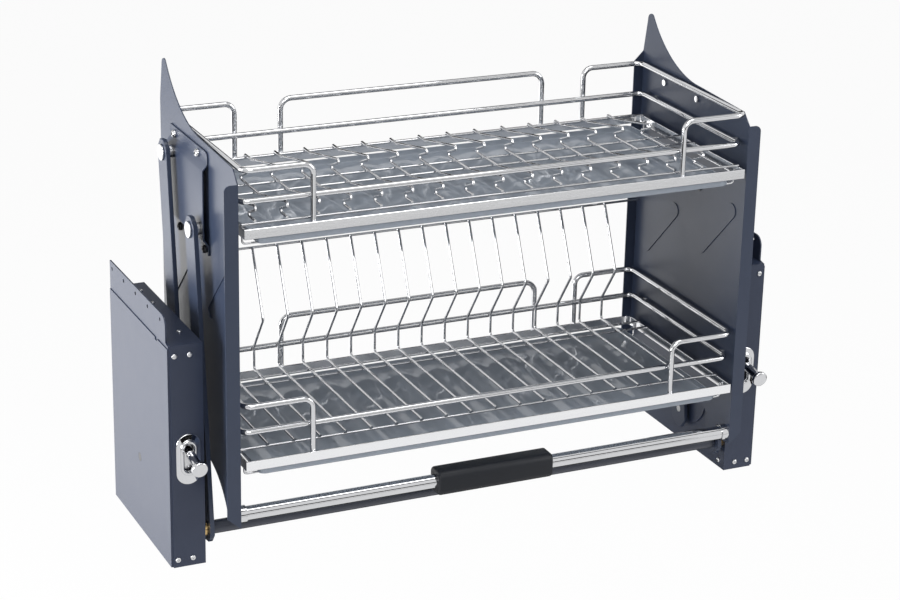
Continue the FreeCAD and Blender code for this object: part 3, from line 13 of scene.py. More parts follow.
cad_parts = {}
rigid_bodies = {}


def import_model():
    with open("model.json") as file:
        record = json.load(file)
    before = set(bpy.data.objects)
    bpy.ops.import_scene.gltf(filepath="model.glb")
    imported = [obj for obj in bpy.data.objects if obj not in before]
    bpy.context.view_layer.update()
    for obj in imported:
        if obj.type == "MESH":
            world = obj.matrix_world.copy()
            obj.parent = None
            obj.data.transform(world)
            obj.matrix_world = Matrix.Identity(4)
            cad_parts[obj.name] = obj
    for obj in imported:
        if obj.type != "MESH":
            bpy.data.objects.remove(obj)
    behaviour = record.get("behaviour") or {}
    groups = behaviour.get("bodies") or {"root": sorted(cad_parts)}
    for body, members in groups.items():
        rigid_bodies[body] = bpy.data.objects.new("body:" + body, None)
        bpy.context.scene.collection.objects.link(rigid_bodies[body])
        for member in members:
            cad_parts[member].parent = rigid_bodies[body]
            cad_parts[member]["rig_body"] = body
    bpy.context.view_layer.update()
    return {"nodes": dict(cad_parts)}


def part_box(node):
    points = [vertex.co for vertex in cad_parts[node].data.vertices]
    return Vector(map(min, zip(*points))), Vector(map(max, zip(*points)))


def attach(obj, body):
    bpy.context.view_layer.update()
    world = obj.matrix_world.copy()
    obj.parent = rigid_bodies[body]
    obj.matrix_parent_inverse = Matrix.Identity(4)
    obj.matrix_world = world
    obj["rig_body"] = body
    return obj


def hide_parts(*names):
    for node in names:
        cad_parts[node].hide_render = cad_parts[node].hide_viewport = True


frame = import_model()

logging.basicConfig(level=logging.INFO, format="%(message)s")
LOG = logging.getLogger("rack")

BACK_PLANE = 150.5  # mm from the frame's origin to the cabinet wall's side of the boxes
SIDES = {"left": -1, "right": 1}
Pair = tuple[float, float]
Pairs = tuple[Pair, ...]
Point = tuple[float, float, float]
Ring = list[bmesh.types.BMVert]


def at(across: float, reach: float, rise: float) -> Vector:
    """Turn millimetres across, forward of the back plane and up into the frame's metres.

    Args:
        across: distance from the rack's middle, to the right.
        reach: distance forward of the boxes' back plane.
        rise: height above the boxes' bottoms.

    Returns:
        The point in the frame.
    """
    return Vector((across, BACK_PLANE - reach, rise)) / 1000


def middle_of(node: str) -> Point:
    """Find the middle of a CAD node's box.

    Args:
        node: the node's name.

    Returns:
        The middle, in millimetres across, forward of the back plane and up.
    """
    low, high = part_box(node)
    across, deep, rise = ((one + two) * 500 for one, two in zip(low, high))
    return across, BACK_PLANE - deep, rise


# ---------------------------------------------------------------- shader and geometry trees


class Socket:
    """One output of a shader tree, which adds Math nodes when it is used in an expression."""

    def __init__(self, tree: "Tree", link: bpy.types.NodeSocket) -> None:
        """Keep the tree and the output that this stands for."""
        self.tree = tree
        self.link = link

    def _math(self, operation: str, *values: "Socket | float") -> "Socket":
        """Add one Math node on these values and return its output."""
        return self.tree.node("ShaderNodeMath", {"operation": operation}, dict(enumerate(values)))

    def __add__(self, other: "Socket | float") -> "Socket":
        """Return self + other."""
        return self._math("ADD", self, other)

    def __radd__(self, other: float) -> "Socket":
        """Return other + self."""
        return self._math("ADD", other, self)

    def __mul__(self, other: "Socket | float") -> "Socket":
        """Return self * other."""
        return self._math("MULTIPLY", self, other)

    def __rmul__(self, other: float) -> "Socket":
        """Return other * self."""
        return self._math("MULTIPLY", other, self)


class Tree:
    """Adds nodes to a node tree by type, settings and inputs."""

    def __init__(self, nodes: bpy.types.NodeTree) -> None:
        """Wrap a node tree."""
        self.tree = nodes

    def add(self, kind: str, settings: dict | None = None, inputs: dict | None = None) -> bpy.types.Node:
        """Add one node.

        Args:
            kind: the node's type.
            settings: its properties, set first.
            inputs: its sockets' values or links, by name or number.

        Returns:
            The node.
        """
        made = self.tree.nodes.new(kind)
        for name, value in (settings or {}).items():
            setattr(made, name, value)
        for name, value in (inputs or {}).items():
            if isinstance(value, Socket):
                self.into(value, made, name)
            else:
                made.inputs[name].default_value = value
        return made

    def node(self, kind: str, settings: dict | None = None, inputs: dict | None = None,
             output: int | str = 0) -> Socket:
        """Add one node as add does and return the output that is wanted."""
        return Socket(self, self.add(kind, settings, inputs).outputs[output])

    def into(self, source: Socket, node: bpy.types.Node, socket: int | str) -> None:
        """Link an output into a node's socket."""
        self.tree.links.new(source.link, node.inputs[socket])

    def given(self) -> dict[str, Socket]:
        """Add the group's input node and return its outputs by name."""
        outputs = self.add("NodeGroupInput").outputs
        return {socket.name: Socket(self, socket) for socket in outputs if socket.name}

    def give(self, row: Socket, material: Socket) -> None:
        """End a geometry tree: realize its instances, set their finish and give them out.

        Args:
            row: the instances.
            material: their finish.
        """
        row = self.node("GeometryNodeRealizeInstances", inputs={"Geometry": row})
        row = self.node("GeometryNodeSetMaterial", inputs={"Geometry": row, "Material": material})
        self.add("NodeGroupOutput", inputs={0: row})

    def background(self) -> Socket:
        """Tell the rays that see the studio's white background from the rest.

        Returns:
            1 for those rays and 0 for the rest.
        """
        ray = self.add("ShaderNodeLightPath")
        camera, glossy, through = (
            Socket(self, ray.outputs[f"Is {kind} Ray"]) for kind in ("Camera", "Glossy", "Transmission")
        )
        return camera + glossy + through


# ---------------------------------------------------------------- finishes


@dataclass(frozen=True)
class Finish:
    """A surface finish, whose tone and gloss vary by a broad noise and a fine one."""

    name: str
    tone: Point
    other: Point
    rough: Pair = (0.3, 0.4)
    metallic: float = 0.0
    coat: float = 0.0
    coat_rough: float = 0.12
    grain: float = 900.0
    relief: float = 0.05
    relief_deep: float = 0.0004
    stretch: Point = (1, 1, 1)
    mottle: float = 40.0
    mottle_share: float = 0.6
    shine: float = 0.5
    clear: float = 0.0
    alpha: float = 1.0

    def build(self) -> bpy.types.Material:
        """Make the finish's material, once.

        Returns:
            The material.
        """
        old = bpy.data.materials.get(f"{self.name}_finish")
        if old:
            return old
        made = bpy.data.materials.new(f"{self.name}_finish")
        made.use_nodes = True
        tree = Tree(made.node_tree)
        shader = made.node_tree.nodes["Principled BSDF"]
        for name, value in (
            ("Metallic", self.metallic),
            ("Coat Weight", self.coat),
            ("Coat Roughness", self.coat_rough),
            ("Transmission Weight", self.clear),
            ("Alpha", self.alpha),
            ("Specular IOR Level", self.shine),
        ):
            shader.inputs[name].default_value = value
        place = tree.node("ShaderNodeTexCoord", output="Object")
        place = tree.node("ShaderNodeMapping", inputs={"Vector": place, "Scale": self.stretch})
        broad, fine = (
            tree.node("ShaderNodeTexNoise", inputs={"Vector": place, "Scale": scale, "Detail": detail})
            for scale, detail in ((self.mottle, 3.0), (self.grain, 2.0))
        )
        mask = broad * self.mottle_share + fine * (1 - self.mottle_share)
        colour = tree.node("ShaderNodeMix", {"data_type": "RGBA"},
                           {"Factor": mask, 6: (*self.tone, 1), 7: (*self.other, 1)}, output=2)
        low, high = self.rough
        tree.into(colour, shader, "Base Color")
        tree.into(low + (high - low) * mask, shader, "Roughness")
        bump = tree.node("ShaderNodeBump",
                         inputs={"Strength": self.relief, "Distance": self.relief_deep, "Height": fine})
        tree.into(bump, shader, "Normal")
        return made


class Look(Enum):
    """The finishes of the rack's pieces."""

    BOX = Finish("box_powder_coat", (0.018, 0.027, 0.055), (0.028, 0.038, 0.070), (0.34, 0.42),
                 shine=0.42, coat=0.04, grain=1400, relief=0.16)
    PANEL = Finish("panel_powder_coat", (0.022, 0.032, 0.060), (0.033, 0.045, 0.078), (0.32, 0.40),
                   shine=0.42, coat=0.04, grain=1400, relief=0.16)
    ARM = Finish("arm_powder_coat", (0.024, 0.034, 0.062), (0.035, 0.047, 0.080), (0.32, 0.40),
                 shine=0.42, coat=0.04, grain=1400, relief=0.16)
    TUBE = Finish("tube_powder_coat", (0.022, 0.026, 0.042), (0.030, 0.036, 0.055), (0.32, 0.42),
                  coat=0.1, grain=1400, relief=0.12)
    CHROME = Finish("chrome", (0.56, 0.565, 0.58), (0.66, 0.665, 0.68), (0.03, 0.08), metallic=1.0,
                    grain=260, relief=0.015, mottle=30)
    BRIGHT_BAR = Finish("polished_bar", (0.78, 0.785, 0.80), (0.86, 0.865, 0.88), (0.10, 0.18), metallic=1.0,
                        grain=500, relief=0.03, stretch=(0.08, 1, 3))
    ZINC = Finish("bright_zinc", (0.55, 0.56, 0.58), (0.72, 0.72, 0.72), (0.22, 0.36), metallic=1.0,
                  grain=700, relief=0.06)
    BRASS = Finish("bush_brass", (0.62, 0.42, 0.17), (0.74, 0.54, 0.26), (0.22, 0.34), metallic=1.0,
                   grain=700, relief=0.05)
    BLACK = Finish("black_oxide", (0.012, 0.012, 0.014), (0.028, 0.028, 0.032), (0.3, 0.45),
                   grain=900, relief=0.08)
    RUBBER = Finish("grip_rubber", (0.005, 0.006, 0.009), (0.009, 0.011, 0.016), (0.42, 0.56),
                    shine=0.3, grain=1800, relief=0.22)
    TRAY = Finish("clear_tray", (0.28, 0.32, 0.375), (0.33, 0.37, 0.425), (0.04, 0.08),
                  shine=0.6, grain=160, relief=0.06, stretch=(1, 0.25, 1), clear=0.15, alpha=0.9)


# ---------------------------------------------------------------- making meshes

SAME = 2e-6  # m, within which two corners of a CAD copy are one
FLAT = 0.4  # degrees, up to which two facets are one flat face
EASED = 50  # degrees, from which an edge is eased
CROSS_WAIST = 0.34  # a cross drive's width between its arms, as a share of its width across them
RECESS_TAPER = 0.92  # the width of a drive's floor, as a share of its mouth's


def shaded(mesh: bpy.types.Mesh, sharp: float = 34.0) -> None:
    """Shade a mesh smooth but for edges sharper than this many degrees."""
    mesh.shade_smooth()
    mesh.set_sharp_from_angle(angle=math.radians(sharp))


def dressed(piece: bpy.types.Object, look: Look, body: str, slot: str, *nodes: str) -> None:
    """Give a piece its finish and its body, and hide the CAD nodes it stands for.

    Args:
        piece: the object, placed in its mesh.
        look: its finish.
        body: the body it rides on.
        slot: the record's slot; not used.
        nodes: the CAD nodes that it replaces.
    """
    piece.data.materials.clear()
    piece.data.materials.append(look.value.build())
    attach(piece, body)
    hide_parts(*nodes)
    LOG.info("piece %s on %s", piece.name, body)


def linked(name: str, mesh: bpy.types.Mesh) -> bpy.types.Object:
    """Put a mesh in the scene.

    Args:
        name: the object's name.
        mesh: its mesh.

    Returns:
        The object.
    """
    piece = bpy.data.objects.new(name, mesh)
    bpy.context.scene.collection.objects.link(piece)
    return piece


def applied(piece: bpy.types.Object) -> None:
    """Turn a piece's modifiers into plain mesh and take them off.

    Args:
        piece: the piece.
    """
    graph = bpy.context.evaluated_depsgraph_get()
    mesh = bpy.data.meshes.new_from_object(piece.evaluated_get(graph), depsgraph=graph)
    piece.modifiers.clear()
    old, piece.data = piece.data, mesh
    bpy.data.meshes.remove(old)


def pressed(node: str, look: Look, slot: str, soften: float) -> None:
    """Make a sheet or turned piece from its CAD node, with its doubles merged and its edges eased.

    Args:
        node: the CAD node.
        look: the finish.
        slot: the record's slot.
        soften: how wide the eased edges are, in mm.
    """
    source = frame["nodes"][node]
    shape = bmesh.new()
    shape.from_mesh(source.data)
    bmesh.ops.remove_doubles(shape, verts=shape.verts, dist=SAME)
    bmesh.ops.dissolve_limit(shape, angle_limit=math.radians(FLAT), verts=shape.verts, edges=shape.edges)
    mesh = bpy.data.meshes.new(node + "_finished")
    shape.to_mesh(mesh)
    shape.free()
    piece = linked(node + "_finished", mesh)
    if soften:
        bevel = piece.modifiers.new("EasedEdges", "BEVEL")
        bevel.width = soften / 1000
        bevel.segments = 2
        bevel.limit_method = "ANGLE"
        bevel.angle_limit = math.radians(EASED)
        applied(piece)
    shaded(piece.data, sharp=40)
    even = piece.modifiers.new("EvenNormals", "WEIGHTED_NORMAL")
    even.weight = 90
    even.keep_sharp = True
    applied(piece)
    dressed(piece, look, source["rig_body"], slot, node)


class Shell:
    """A mesh that is built from rings of points."""

    def __init__(self) -> None:
        """Start an empty shell."""
        self.shape = bmesh.new()

    def ring(self, points: list[Vector]) -> Ring:
        """Add one ring of points."""
        return [self.shape.verts.new(point) for point in points]

    def skin(self, rings: list[Ring]) -> None:
        """Join each ring to the next with faces.

        Args:
            rings: the rings, all with the same number of points.
        """
        for one, two in zip(rings, rings[1:]):
            for number in range(len(one)):
                after = (number + 1) % len(one)
                self.shape.faces.new((one[number], one[after], two[after], two[number]))

    def cap(self, ring: Ring) -> None:
        """Close a ring with one face."""
        self.shape.faces.new(ring)

    def mesh(self, name: str) -> bpy.types.Mesh:
        """End the shell, with its faces turned outwards.

        Args:
            name: the mesh's name.

        Returns:
            The plain mesh.
        """
        bmesh.ops.recalc_face_normals(self.shape, faces=self.shape.faces)
        mesh = bpy.data.meshes.new(name)
        self.shape.to_mesh(mesh)
        self.shape.free()
        return mesh

    def piece(self, name: str, sharp: float) -> bpy.types.Object:
        """End the shell as a piece in the scene.

        Args:
            name: the piece's name.
            sharp: the degrees up to which its faces shade as one.

        Returns:
            The piece.
        """
        mesh = self.mesh(name)
        shaded(mesh, sharp)
        return linked(name, mesh)


@dataclass
class Path:
    """A path of straight runs with rounded corners, in mm across, forward and up."""

    corners: list[Point]
    bend: float = 0.0
    closed: bool = False


class MakerTree:
    """A Geometry Nodes tree with named inputs, which makes a piece of points or paths."""

    def __init__(self, name: str, inputs: dict[str, str]) -> None:
        """Start the tree.

        Args:
            name: its name.
            inputs: its inputs' kinds, by name. The first is the geometry that it works on.
        """
        self.group = bpy.data.node_groups.new(name, "GeometryNodeTree")
        face = self.group.interface
        self.names = {}
        for title, kind in inputs.items():
            made = face.new_socket(title, in_out="INPUT", socket_type=f"NodeSocket{kind}")
            self.names[title] = made.identifier
        face.new_socket("Piece", in_out="OUTPUT", socket_type="NodeSocketGeometry")
        self.tree = Tree(self.group)

    def made(self, name: str, mesh: bpy.types.Mesh, **values: object) -> bpy.types.Object:
        """Run the tree on a mesh.

        Args:
            name: the piece's name.
            mesh: the points or paths.
            values: the tree's other inputs, by name.

        Returns:
            The piece as a plain mesh.
        """
        piece = linked(name, mesh)
        maker = piece.modifiers.new("Maker", "NODES")
        maker.node_group = self.group
        for title, value in values.items():
            maker[self.names[title]] = value
        applied(piece)
        return piece


class SweepTree(MakerTree):
    """The tree that bends round stock along paths and repeats it in a row."""

    def __init__(self) -> None:
        """Build the tree with its named inputs."""
        super().__init__("bent_stock", {"Path": "Geometry", "Radius": "Float", "Facets": "Int",
                                        "BendSteps": "Int", "Count": "Int", "Pitch": "Float",
                                        "Finish": "Material"})
        tree, given = self.tree, self.tree.given()
        bend = tree.node("GeometryNodeInputNamedAttribute", {"data_type": "FLOAT"}, {"Name": "bend"})
        path = tree.node("GeometryNodeMeshToCurve", inputs={"Mesh": given["Path"]})
        path = tree.node("GeometryNodeFilletCurve", {"mode": "POLY"},
                         {"Curve": path, "Count": given["BendSteps"], "Radius": bend, "Limit Radius": True})
        section = tree.node("GeometryNodeCurvePrimitiveCircle", {"mode": "RADIUS"},
                            {"Resolution": given["Facets"], "Radius": given["Radius"]})
        stock = tree.node("GeometryNodeCurveToMesh",
                          inputs={"Curve": path, "Profile Curve": section, "Fill Caps": True})
        step = tree.node("ShaderNodeCombineXYZ", inputs={"X": given["Pitch"]})
        row = tree.node("GeometryNodeMeshLine", {"mode": "OFFSET"},
                        {"Count": given["Count"], "Offset": step})
        row = tree.node("GeometryNodeInstanceOnPoints", inputs={"Points": row, "Instance": stock})
        tree.give(row, given["Finish"])

    def run(self, name: str, paths: list[Path], radius: float, look: Look, facets: int,
            count: int = 1, pitch: float = 0.0) -> bpy.types.Object:
        """Sweep round stock along paths.

        Args:
            name: the piece's name.
            paths: the paths.
            radius: the stock's radius in mm.
            look: the finish.
            facets: the sides of the section.
            count: how many stand in the row.
            pitch: how far apart, in mm.

        Returns:
            The piece as a plain mesh.
        """
        mesh = bpy.data.meshes.new(name)
        points, edges, bends = [], [], []
        for path in paths:
            first = len(points)
            points += [at(*corner) for corner in path.corners]
            bends += [path.bend / 1000] * len(path.corners)
            last = len(points) - 1
            edges += [(number, number + 1) for number in range(first, last)]
            if path.closed:
                edges.append((last, first))
        mesh.from_pydata(points, edges, [])
        mesh.attributes.new("bend", "FLOAT", "POINT").data.foreach_set("value", bends)
        piece = self.made(name, mesh, Radius=radius / 1000, Facets=facets, BendSteps=6, Count=count,
                          Pitch=pitch / 1000, Finish=look.value.build())
        shape = bmesh.new()
        shape.from_mesh(piece.data)
        bmesh.ops.recalc_face_normals(shape, faces=shape.faces)
        shape.to_mesh(piece.data)
        shape.free()
        shaded(piece.data, sharp=60)
        return piece


class PlacedTree(MakerTree):
    """The tree that puts one fitting at every point, aimed along the point's direction."""

    def __init__(self) -> None:
        """Build the tree with its named inputs."""
        super().__init__("placed_fittings", {"Places": "Geometry", "Fitting": "Object", "Finish": "Material"})
        tree, given = self.tree, self.tree.given()
        aim = tree.node("GeometryNodeInputNamedAttribute", {"data_type": "FLOAT_VECTOR"}, {"Name": "aim"})
        turn = tree.node("FunctionNodeAlignRotationToVector", {"axis": "Z"}, {"Vector": aim})
        item = tree.node("GeometryNodeObjectInfo", {"transform_space": "ORIGINAL"},
                         {"Object": given["Fitting"]}, output="Geometry")
        row = tree.node("GeometryNodeInstanceOnPoints",
                        inputs={"Points": given["Places"], "Instance": item, "Rotation": turn})
        tree.give(row, given["Finish"])

    def run(self, name: str, fitting: bpy.types.Mesh, places: list[tuple[Point, Point]],
            look: Look) -> bpy.types.Object:
        """Put a fitting at every place.

        Args:
            name: the piece's name.
            fitting: the fitting, standing on its origin and facing up.
            places: where each stands, in mm, and which way it faces in the frame.
            look: the finish.

        Returns:
            The piece as a plain mesh.
        """
        mesh = bpy.data.meshes.new(name)
        mesh.from_pydata([at(*place) for place, _ in places], [], [])
        aims = [value for _, aim in places for value in aim]
        mesh.attributes.new("aim", "FLOAT_VECTOR", "POINT").data.foreach_set("vector", aims)
        item = linked(name + "_one", fitting)
        piece = self.made(name, mesh, Fitting=item, Finish=look.value.build())
        bpy.data.objects.remove(item)
        shaded(piece.data)
        return piece


def lathe(name: str, profile: Pairs, steps: int, recess: Pair | None = None,
          corners: int = 6) -> bpy.types.Mesh:
    """Turn a profile about the upright axis, closed at both ends.

    Args:
        name: the mesh's name.
        profile: radius and height pairs in mm, from the bottom to the top.
        steps: the facets round the axis.
        recess: the drive's radius and depth in mm, sunk in the top, or None.
        corners: the drive's corners: 6 for a hexagon, 4 for a cross.

    Returns:
        The mesh.
    """
    shell = Shell()

    def ring(radius: float, rise: float, drive: bool = False) -> Ring:
        """Add one ring of points.

        Args:
            radius: its radius in mm.
            rise: its height in mm.
            drive: whether it has the drive's outline and not a round one.

        Returns:
            The ring.
        """
        made = []
        for number in range(steps):
            angle = 2 * math.pi * number / steps
            far = radius
            if drive and corners == 4:
                far = radius * (CROSS_WAIST + (1 - CROSS_WAIST) * abs(math.cos(2 * angle)) ** 4)
            elif drive:
                sector = (angle % (2 * math.pi / corners)) - math.pi / corners
                far = radius * math.cos(math.pi / corners) / math.cos(sector)
            made.append(Vector((far * math.cos(angle), far * math.sin(angle), rise)) / 1000)
        return shell.ring(made)

    rings = [ring(*spot) for spot in profile]
    if recess:
        across, deep = recess
        top = profile[-1][1]
        rings += [ring(across, top, True), ring(across * RECESS_TAPER, top - deep, True)]
    shell.skin(rings)
    shell.cap(rings[0][::-1])
    shell.cap(rings[-1])
    return shell.mesh(name)


def domed(radius: float, tall: float, hole: float) -> Pairs:
    """Draw the profile of a button head, domed from a low edge up to its drive's hole.

    Args:
        radius: the head's radius in mm.
        tall: its height in mm.
        hole: the hole's radius in mm.

    Returns:
        Radius and height pairs in mm, from the bottom to the top.
    """
    foot, edge, steps = 0.96, 0.18, 6
    rows = [(radius * foot, 0.0), (radius, tall * edge)]
    for number in range(1, steps + 1):
        angle = math.pi / 2 * number / steps
        across = hole + (radius - hole) * math.cos(angle)
        rows.append((across, tall * (edge + (1 - edge) * math.sin(angle))))
    return tuple(rows)


def stadium(half_wide: float, half_high: float, middle: float, steps: int = 48) -> list[Pair]:
    """Draw the outline of an upright slot with round ends.

    Args:
        half_wide: half its width in mm.
        half_high: half its height in mm.
        middle: the rise of its middle in mm.
        steps: how many points it has.

    Returns:
        Its points, in mm across and up.
    """
    straight = half_high - half_wide
    points = []
    for number in range(steps):
        angle = 2 * math.pi * (number + 0.5) / steps
        lift = straight if math.sin(angle) > 0 else -straight
        points.append((half_wide * math.cos(angle), middle + lift + half_wide * math.sin(angle)))
    return points


# ---------------------------------------------------------------- the rack
# Sizes are in mm. A reach is forward of the boxes' back plane and a rise is above their bottoms. A pair that
# places something gives its reach and its rise, and a pair in an edge or a turned profile gives how far in
# or out the outline runs and how far along.


class Shop:
    """The tools that every sub-assembly shares."""

    def __init__(self) -> None:
        """Build the shared trees."""
        self.sweep = SweepTree()
        self.placed = PlacedTree()


@dataclass
class SpringBoxes:
    """The two spring boxes: cases, plates, covers, escutcheons, knobs, screws and springs."""

    shop: Shop
    inner: float = 385.8
    depth: float = 241.0
    rise: float = 305.0
    escutcheon_middle: float = 406.9
    escutcheon_half: Pair = (16.5, 34.7)
    escutcheon_rise: float = 149.7
    escutcheon_edge: Pairs = ((0.0, 0.0), (0.0, 1.1), (0.3, 1.6), (1.0, 2.0))
    rim_half: Pair = (11.0, 24.0)
    rim_edge: Pairs = ((-0.6, 2.05), (-0.1, 2.4), (0.0, 3.6), (0.4, 4.5), (1.3, 5.0))
    slot_half: Pair = (6.5, 19.0)
    slot_rise: float = 152.0
    slot_edge: Pairs = ((-1.2, 4.95), (-0.3, 4.4), (0.0, 3.4), (0.0, 0.0))
    stem_rise: float = 161.0
    stem_tilt: float = 10.0
    stem: Pairs = ((5.0, -12.0), (5.0, 9.3), (6.0, 9.7), (6.0, 38.0), (6.3, 40.2), (7.4, 41.2))
    disc: Pairs = ((9.4, 41.25), (10.2, 41.6), (10.6, 42.5), (10.6, 46.2), (10.2, 47.1),
                   (9.3, 47.6), (5.0, 47.7), (1.0, 47.7))
    anchor: Pair = (226.0, 78.0)
    wire: float = 1.25
    coil_radius: float = 7.0
    coil_apart: float = 15.0
    hook: float = 15.0
    turns: int = 34
    turn_steps: int = 14
    pin_radius: float = 5.0
    screw: Pairs = ((1.9, -6.0), (1.9, 0.0), (3.5, 0.02), (3.6, 0.5), (3.4, 1.2), (2.9, 1.7),
                    (2.2, 1.95))
    screw_drive: Pair = (1.9, 1.2)
    screw_in: Pair = (17.2, 37.2)
    screw_rises: Pair = (10.5, 291.0)
    top_screws: Point = (36.0, 85.4, 196.0)
    top_screw_in: float = 15.2
    side_screw: Pair = (226.0, 10.0)

    def build(self) -> None:
        """Make and dress every piece of both boxes."""
        for side in SIDES:
            pressed(f"{side}_case", Look.BOX, "box_paint", soften=0.6)
            pressed(f"{side}_mount_plate", Look.BOX, "box_paint", soften=0.3)
            pressed(f"{side}_cover", Look.BOX, "box_paint", soften=0.3)
            pressed(f"{side}_adjuster_slider", Look.ZINC, "bright_steel", soften=0.3)
            self.knob(side)
            self.springs(side)
        self.escutcheons()
        self.screws()
        pressed("cover_plugs", Look.BLACK, "black_fixings", soften=0.3)
        pressed("front_bushes", Look.BRASS, "bush_brass", soften=0.25)
        pressed("rear_bushes", Look.BRASS, "bush_brass", soften=0.25)
        pressed("stop_buffers", Look.RUBBER, "black_rubber", soften=0.6)

    def escutcheons(self) -> None:
        """Loft both chrome escutcheons: a plate with eased edges and a domed rim round its slot."""
        stations = [
            (wide - inset, high - inset, middle, out)
            for (wide, high), middle, edge in (
                (self.escutcheon_half, self.escutcheon_rise, self.escutcheon_edge),
                (self.rim_half, self.slot_rise, self.rim_edge),
                (self.slot_half, self.slot_rise, self.slot_edge),
            )
            for inset, out in edge
        ]
        shell = Shell()
        for sign in SIDES.values():
            rings = [
                shell.ring([at(sign * self.escutcheon_middle + across, self.depth + out, up)
                            for across, up in stadium(half_wide, half_high, middle)])
                for half_wide, half_high, middle, out in stations
            ]
            shell.skin(rings + rings[:1])
        piece = shell.piece("escutcheons", sharp=50)
        dressed(piece, Look.CHROME, "root", "chrome_plate", "adjuster_plates")

    def knob(self, side: str) -> None:
        """Turn one adjuster knob: its neck, a fillet and a disc with a soft rim.

        Args:
            side: left or right.
        """
        mesh = lathe(f"{side}_knob", self.stem + self.disc, steps=40)
        tilt = math.radians(90 + self.stem_tilt)
        turn = Matrix.Translation(at(SIDES[side] * self.escutcheon_middle, self.depth, self.stem_rise))
        mesh.transform(turn @ Matrix.Rotation(tilt, 4, "X"))
        shaded(mesh, sharp=50)
        dressed(linked(f"{side}_knob_turned", mesh), Look.CHROME, f"{side}_adjuster", "chrome_plate",
                f"{side}_adjuster_knob")

    def springs(self, side: str) -> None:
        """Wind a pair of balance springs from the slider's anchor to the crank pin.

        Args:
            side: left or right.
        """
        middle, _, _ = middle_of(f"{side}_balance_springs")
        _, reach, rise = middle_of(f"{side}_crank_pin")
        start, stop = Vector((0.0, *self.anchor)), Vector((0.0, reach, rise))
        run = stop - start
        along = run.normalized()
        side_way = Vector((1, 0, 0))
        up = side_way.cross(along)
        steps = self.turns * self.turn_steps
        radius, long = self.coil_radius - self.wire, run.length - 2 * self.hook
        paths = []
        for offset in (-self.coil_apart / 2, self.coil_apart / 2):
            centre = Vector((middle + offset, 0, 0))
            points = [centre + start + along * self.pin_radius]
            for number in range(steps + 1):
                angle = 2 * math.pi * number / self.turn_steps
                place = centre + start + along * (self.hook + long * number / steps)
                points.append(place + radius * (side_way * math.cos(angle) + up * math.sin(angle)))
            points.append(centre + stop - along * self.pin_radius)
            paths.append(Path([tuple(point) for point in points]))
        piece = self.shop.sweep.run(f"{side}_coil_springs", paths, self.wire, Look.ZINC, facets=6)
        dressed(piece, Look.ZINC, "root", "bright_steel", f"{side}_balance_springs")

    def screws(self) -> None:
        """Set the cases' cross-headed screws in their fronts, tops and inner sides."""
        head = lathe("case_screw", self.screw, 24, self.screw_drive, corners=4)
        places = []
        for sign in SIDES.values():
            for up in self.screw_rises:
                for inward in self.screw_in:
                    places.append(((sign * (self.inner + inward), self.depth, up), (0, -1, 0)))
            for reach in self.top_screws:
                places.append(((sign * (self.inner + self.top_screw_in), reach, self.rise), (0, 0, 1)))
            places.append(((sign * self.inner, *self.side_screw), (-sign, 0, 0)))
        piece = self.shop.placed.run("case_screw_heads", head, places, Look.ZINC)
        dressed(piece, Look.ZINC, "root", "bright_steel", "case_screws")


@dataclass
class Linkage:
    """The arms, their pins and journals, and the tube between the front arms."""

    shop: Shop
    tube: float = 9.0
    tube_half: float = 373.3
    pivot: Pair = (225.0, 41.0)

    def build(self) -> None:
        """Make and dress the arms, the tube and the pins."""
        for side in SIDES:
            for end in ("front", "rear"):
                pressed(f"{side}_{end}_arm", Look.ARM, "arm_paint", soften=0.9)
            pressed(f"{side}_rear_pivot_pin", Look.ZINC, "bright_steel", soften=0.3)
            pressed(f"{side}_crank_pin", Look.ZINC, "bright_steel", soften=0.3)
        ends = [(sign * self.tube_half, *self.pivot) for sign in SIDES.values()]
        piece = self.shop.sweep.run("cross_tube_drawn", [Path(ends)], self.tube, Look.TUBE, facets=32)
        dressed(piece, Look.TUBE, "front_arms", "arm_paint", "cross_tube")
        pressed("front_pivot_journals", Look.ZINC, "bright_steel", soften=0.25)


@dataclass
class SidePanels:
    """The bent side panels with their brackets, pivots and fastenings."""

    shop: Shop
    bracket_face: float = 360.0
    screw_places: Pairs = ((70.0, 525.5), (160.0, 525.5))
    screw_tall: float = 5.0
    bolt_places: Pairs = ((84.0, 405.0), (180.0, 405.0))
    bolt_tall: float = 3.6
    head: float = 5.5
    hole: float = 2.2
    drive: float = 2.1
    drive_share: float = 0.55
    nut: Pairs = ((4.4, -6.1), (4.4, -3.55), (1.95, -3.5), (1.95, -0.05))

    def build(self) -> None:
        """Make and dress the panels and what is fixed to them."""
        for side in SIDES:
            pressed(f"{side}_panel", Look.PANEL, "panel_paint", soften=0.35)
            pressed(f"{side}_bracket", Look.PANEL, "panel_paint", soften=0.5)
        pressed("upper_pivot_pins", Look.ZINC, "chrome_plate", soften=0.6)
        pressed("pivot_spacers", Look.ZINC, "bright_steel", soften=0.3)
        self.fastenings("bracket_screws", self.screw_places, self.screw_tall, Look.CHROME, "chrome_plate")
        self.fastenings("bracket_bolts", self.bolt_places, self.bolt_tall, Look.BLACK, "black_fixings")

    def fastenings(self, node: str, places: Pairs, tall: float, look: Look, slot: str) -> None:
        """Set one kind of button-headed fastening with its nut.

        Args:
            node: the CAD node that they stand for.
            places: reach and rise of each, on the left bracket and the right one.
            tall: the head's height in mm.
            look: the finish.
            slot: the record's slot.
        """
        profile = self.nut + domed(self.head, tall, self.hole)
        head = lathe(node + "_one", profile, 36, (self.drive, tall * self.drive_share))
        spots = [((sign * self.bracket_face, *place), (sign, 0, 0))
                 for sign in SIDES.values() for place in places]
        piece = self.shop.placed.run(node + "_turned", head, spots, look)
        dressed(piece, look, "carriage", slot, node)


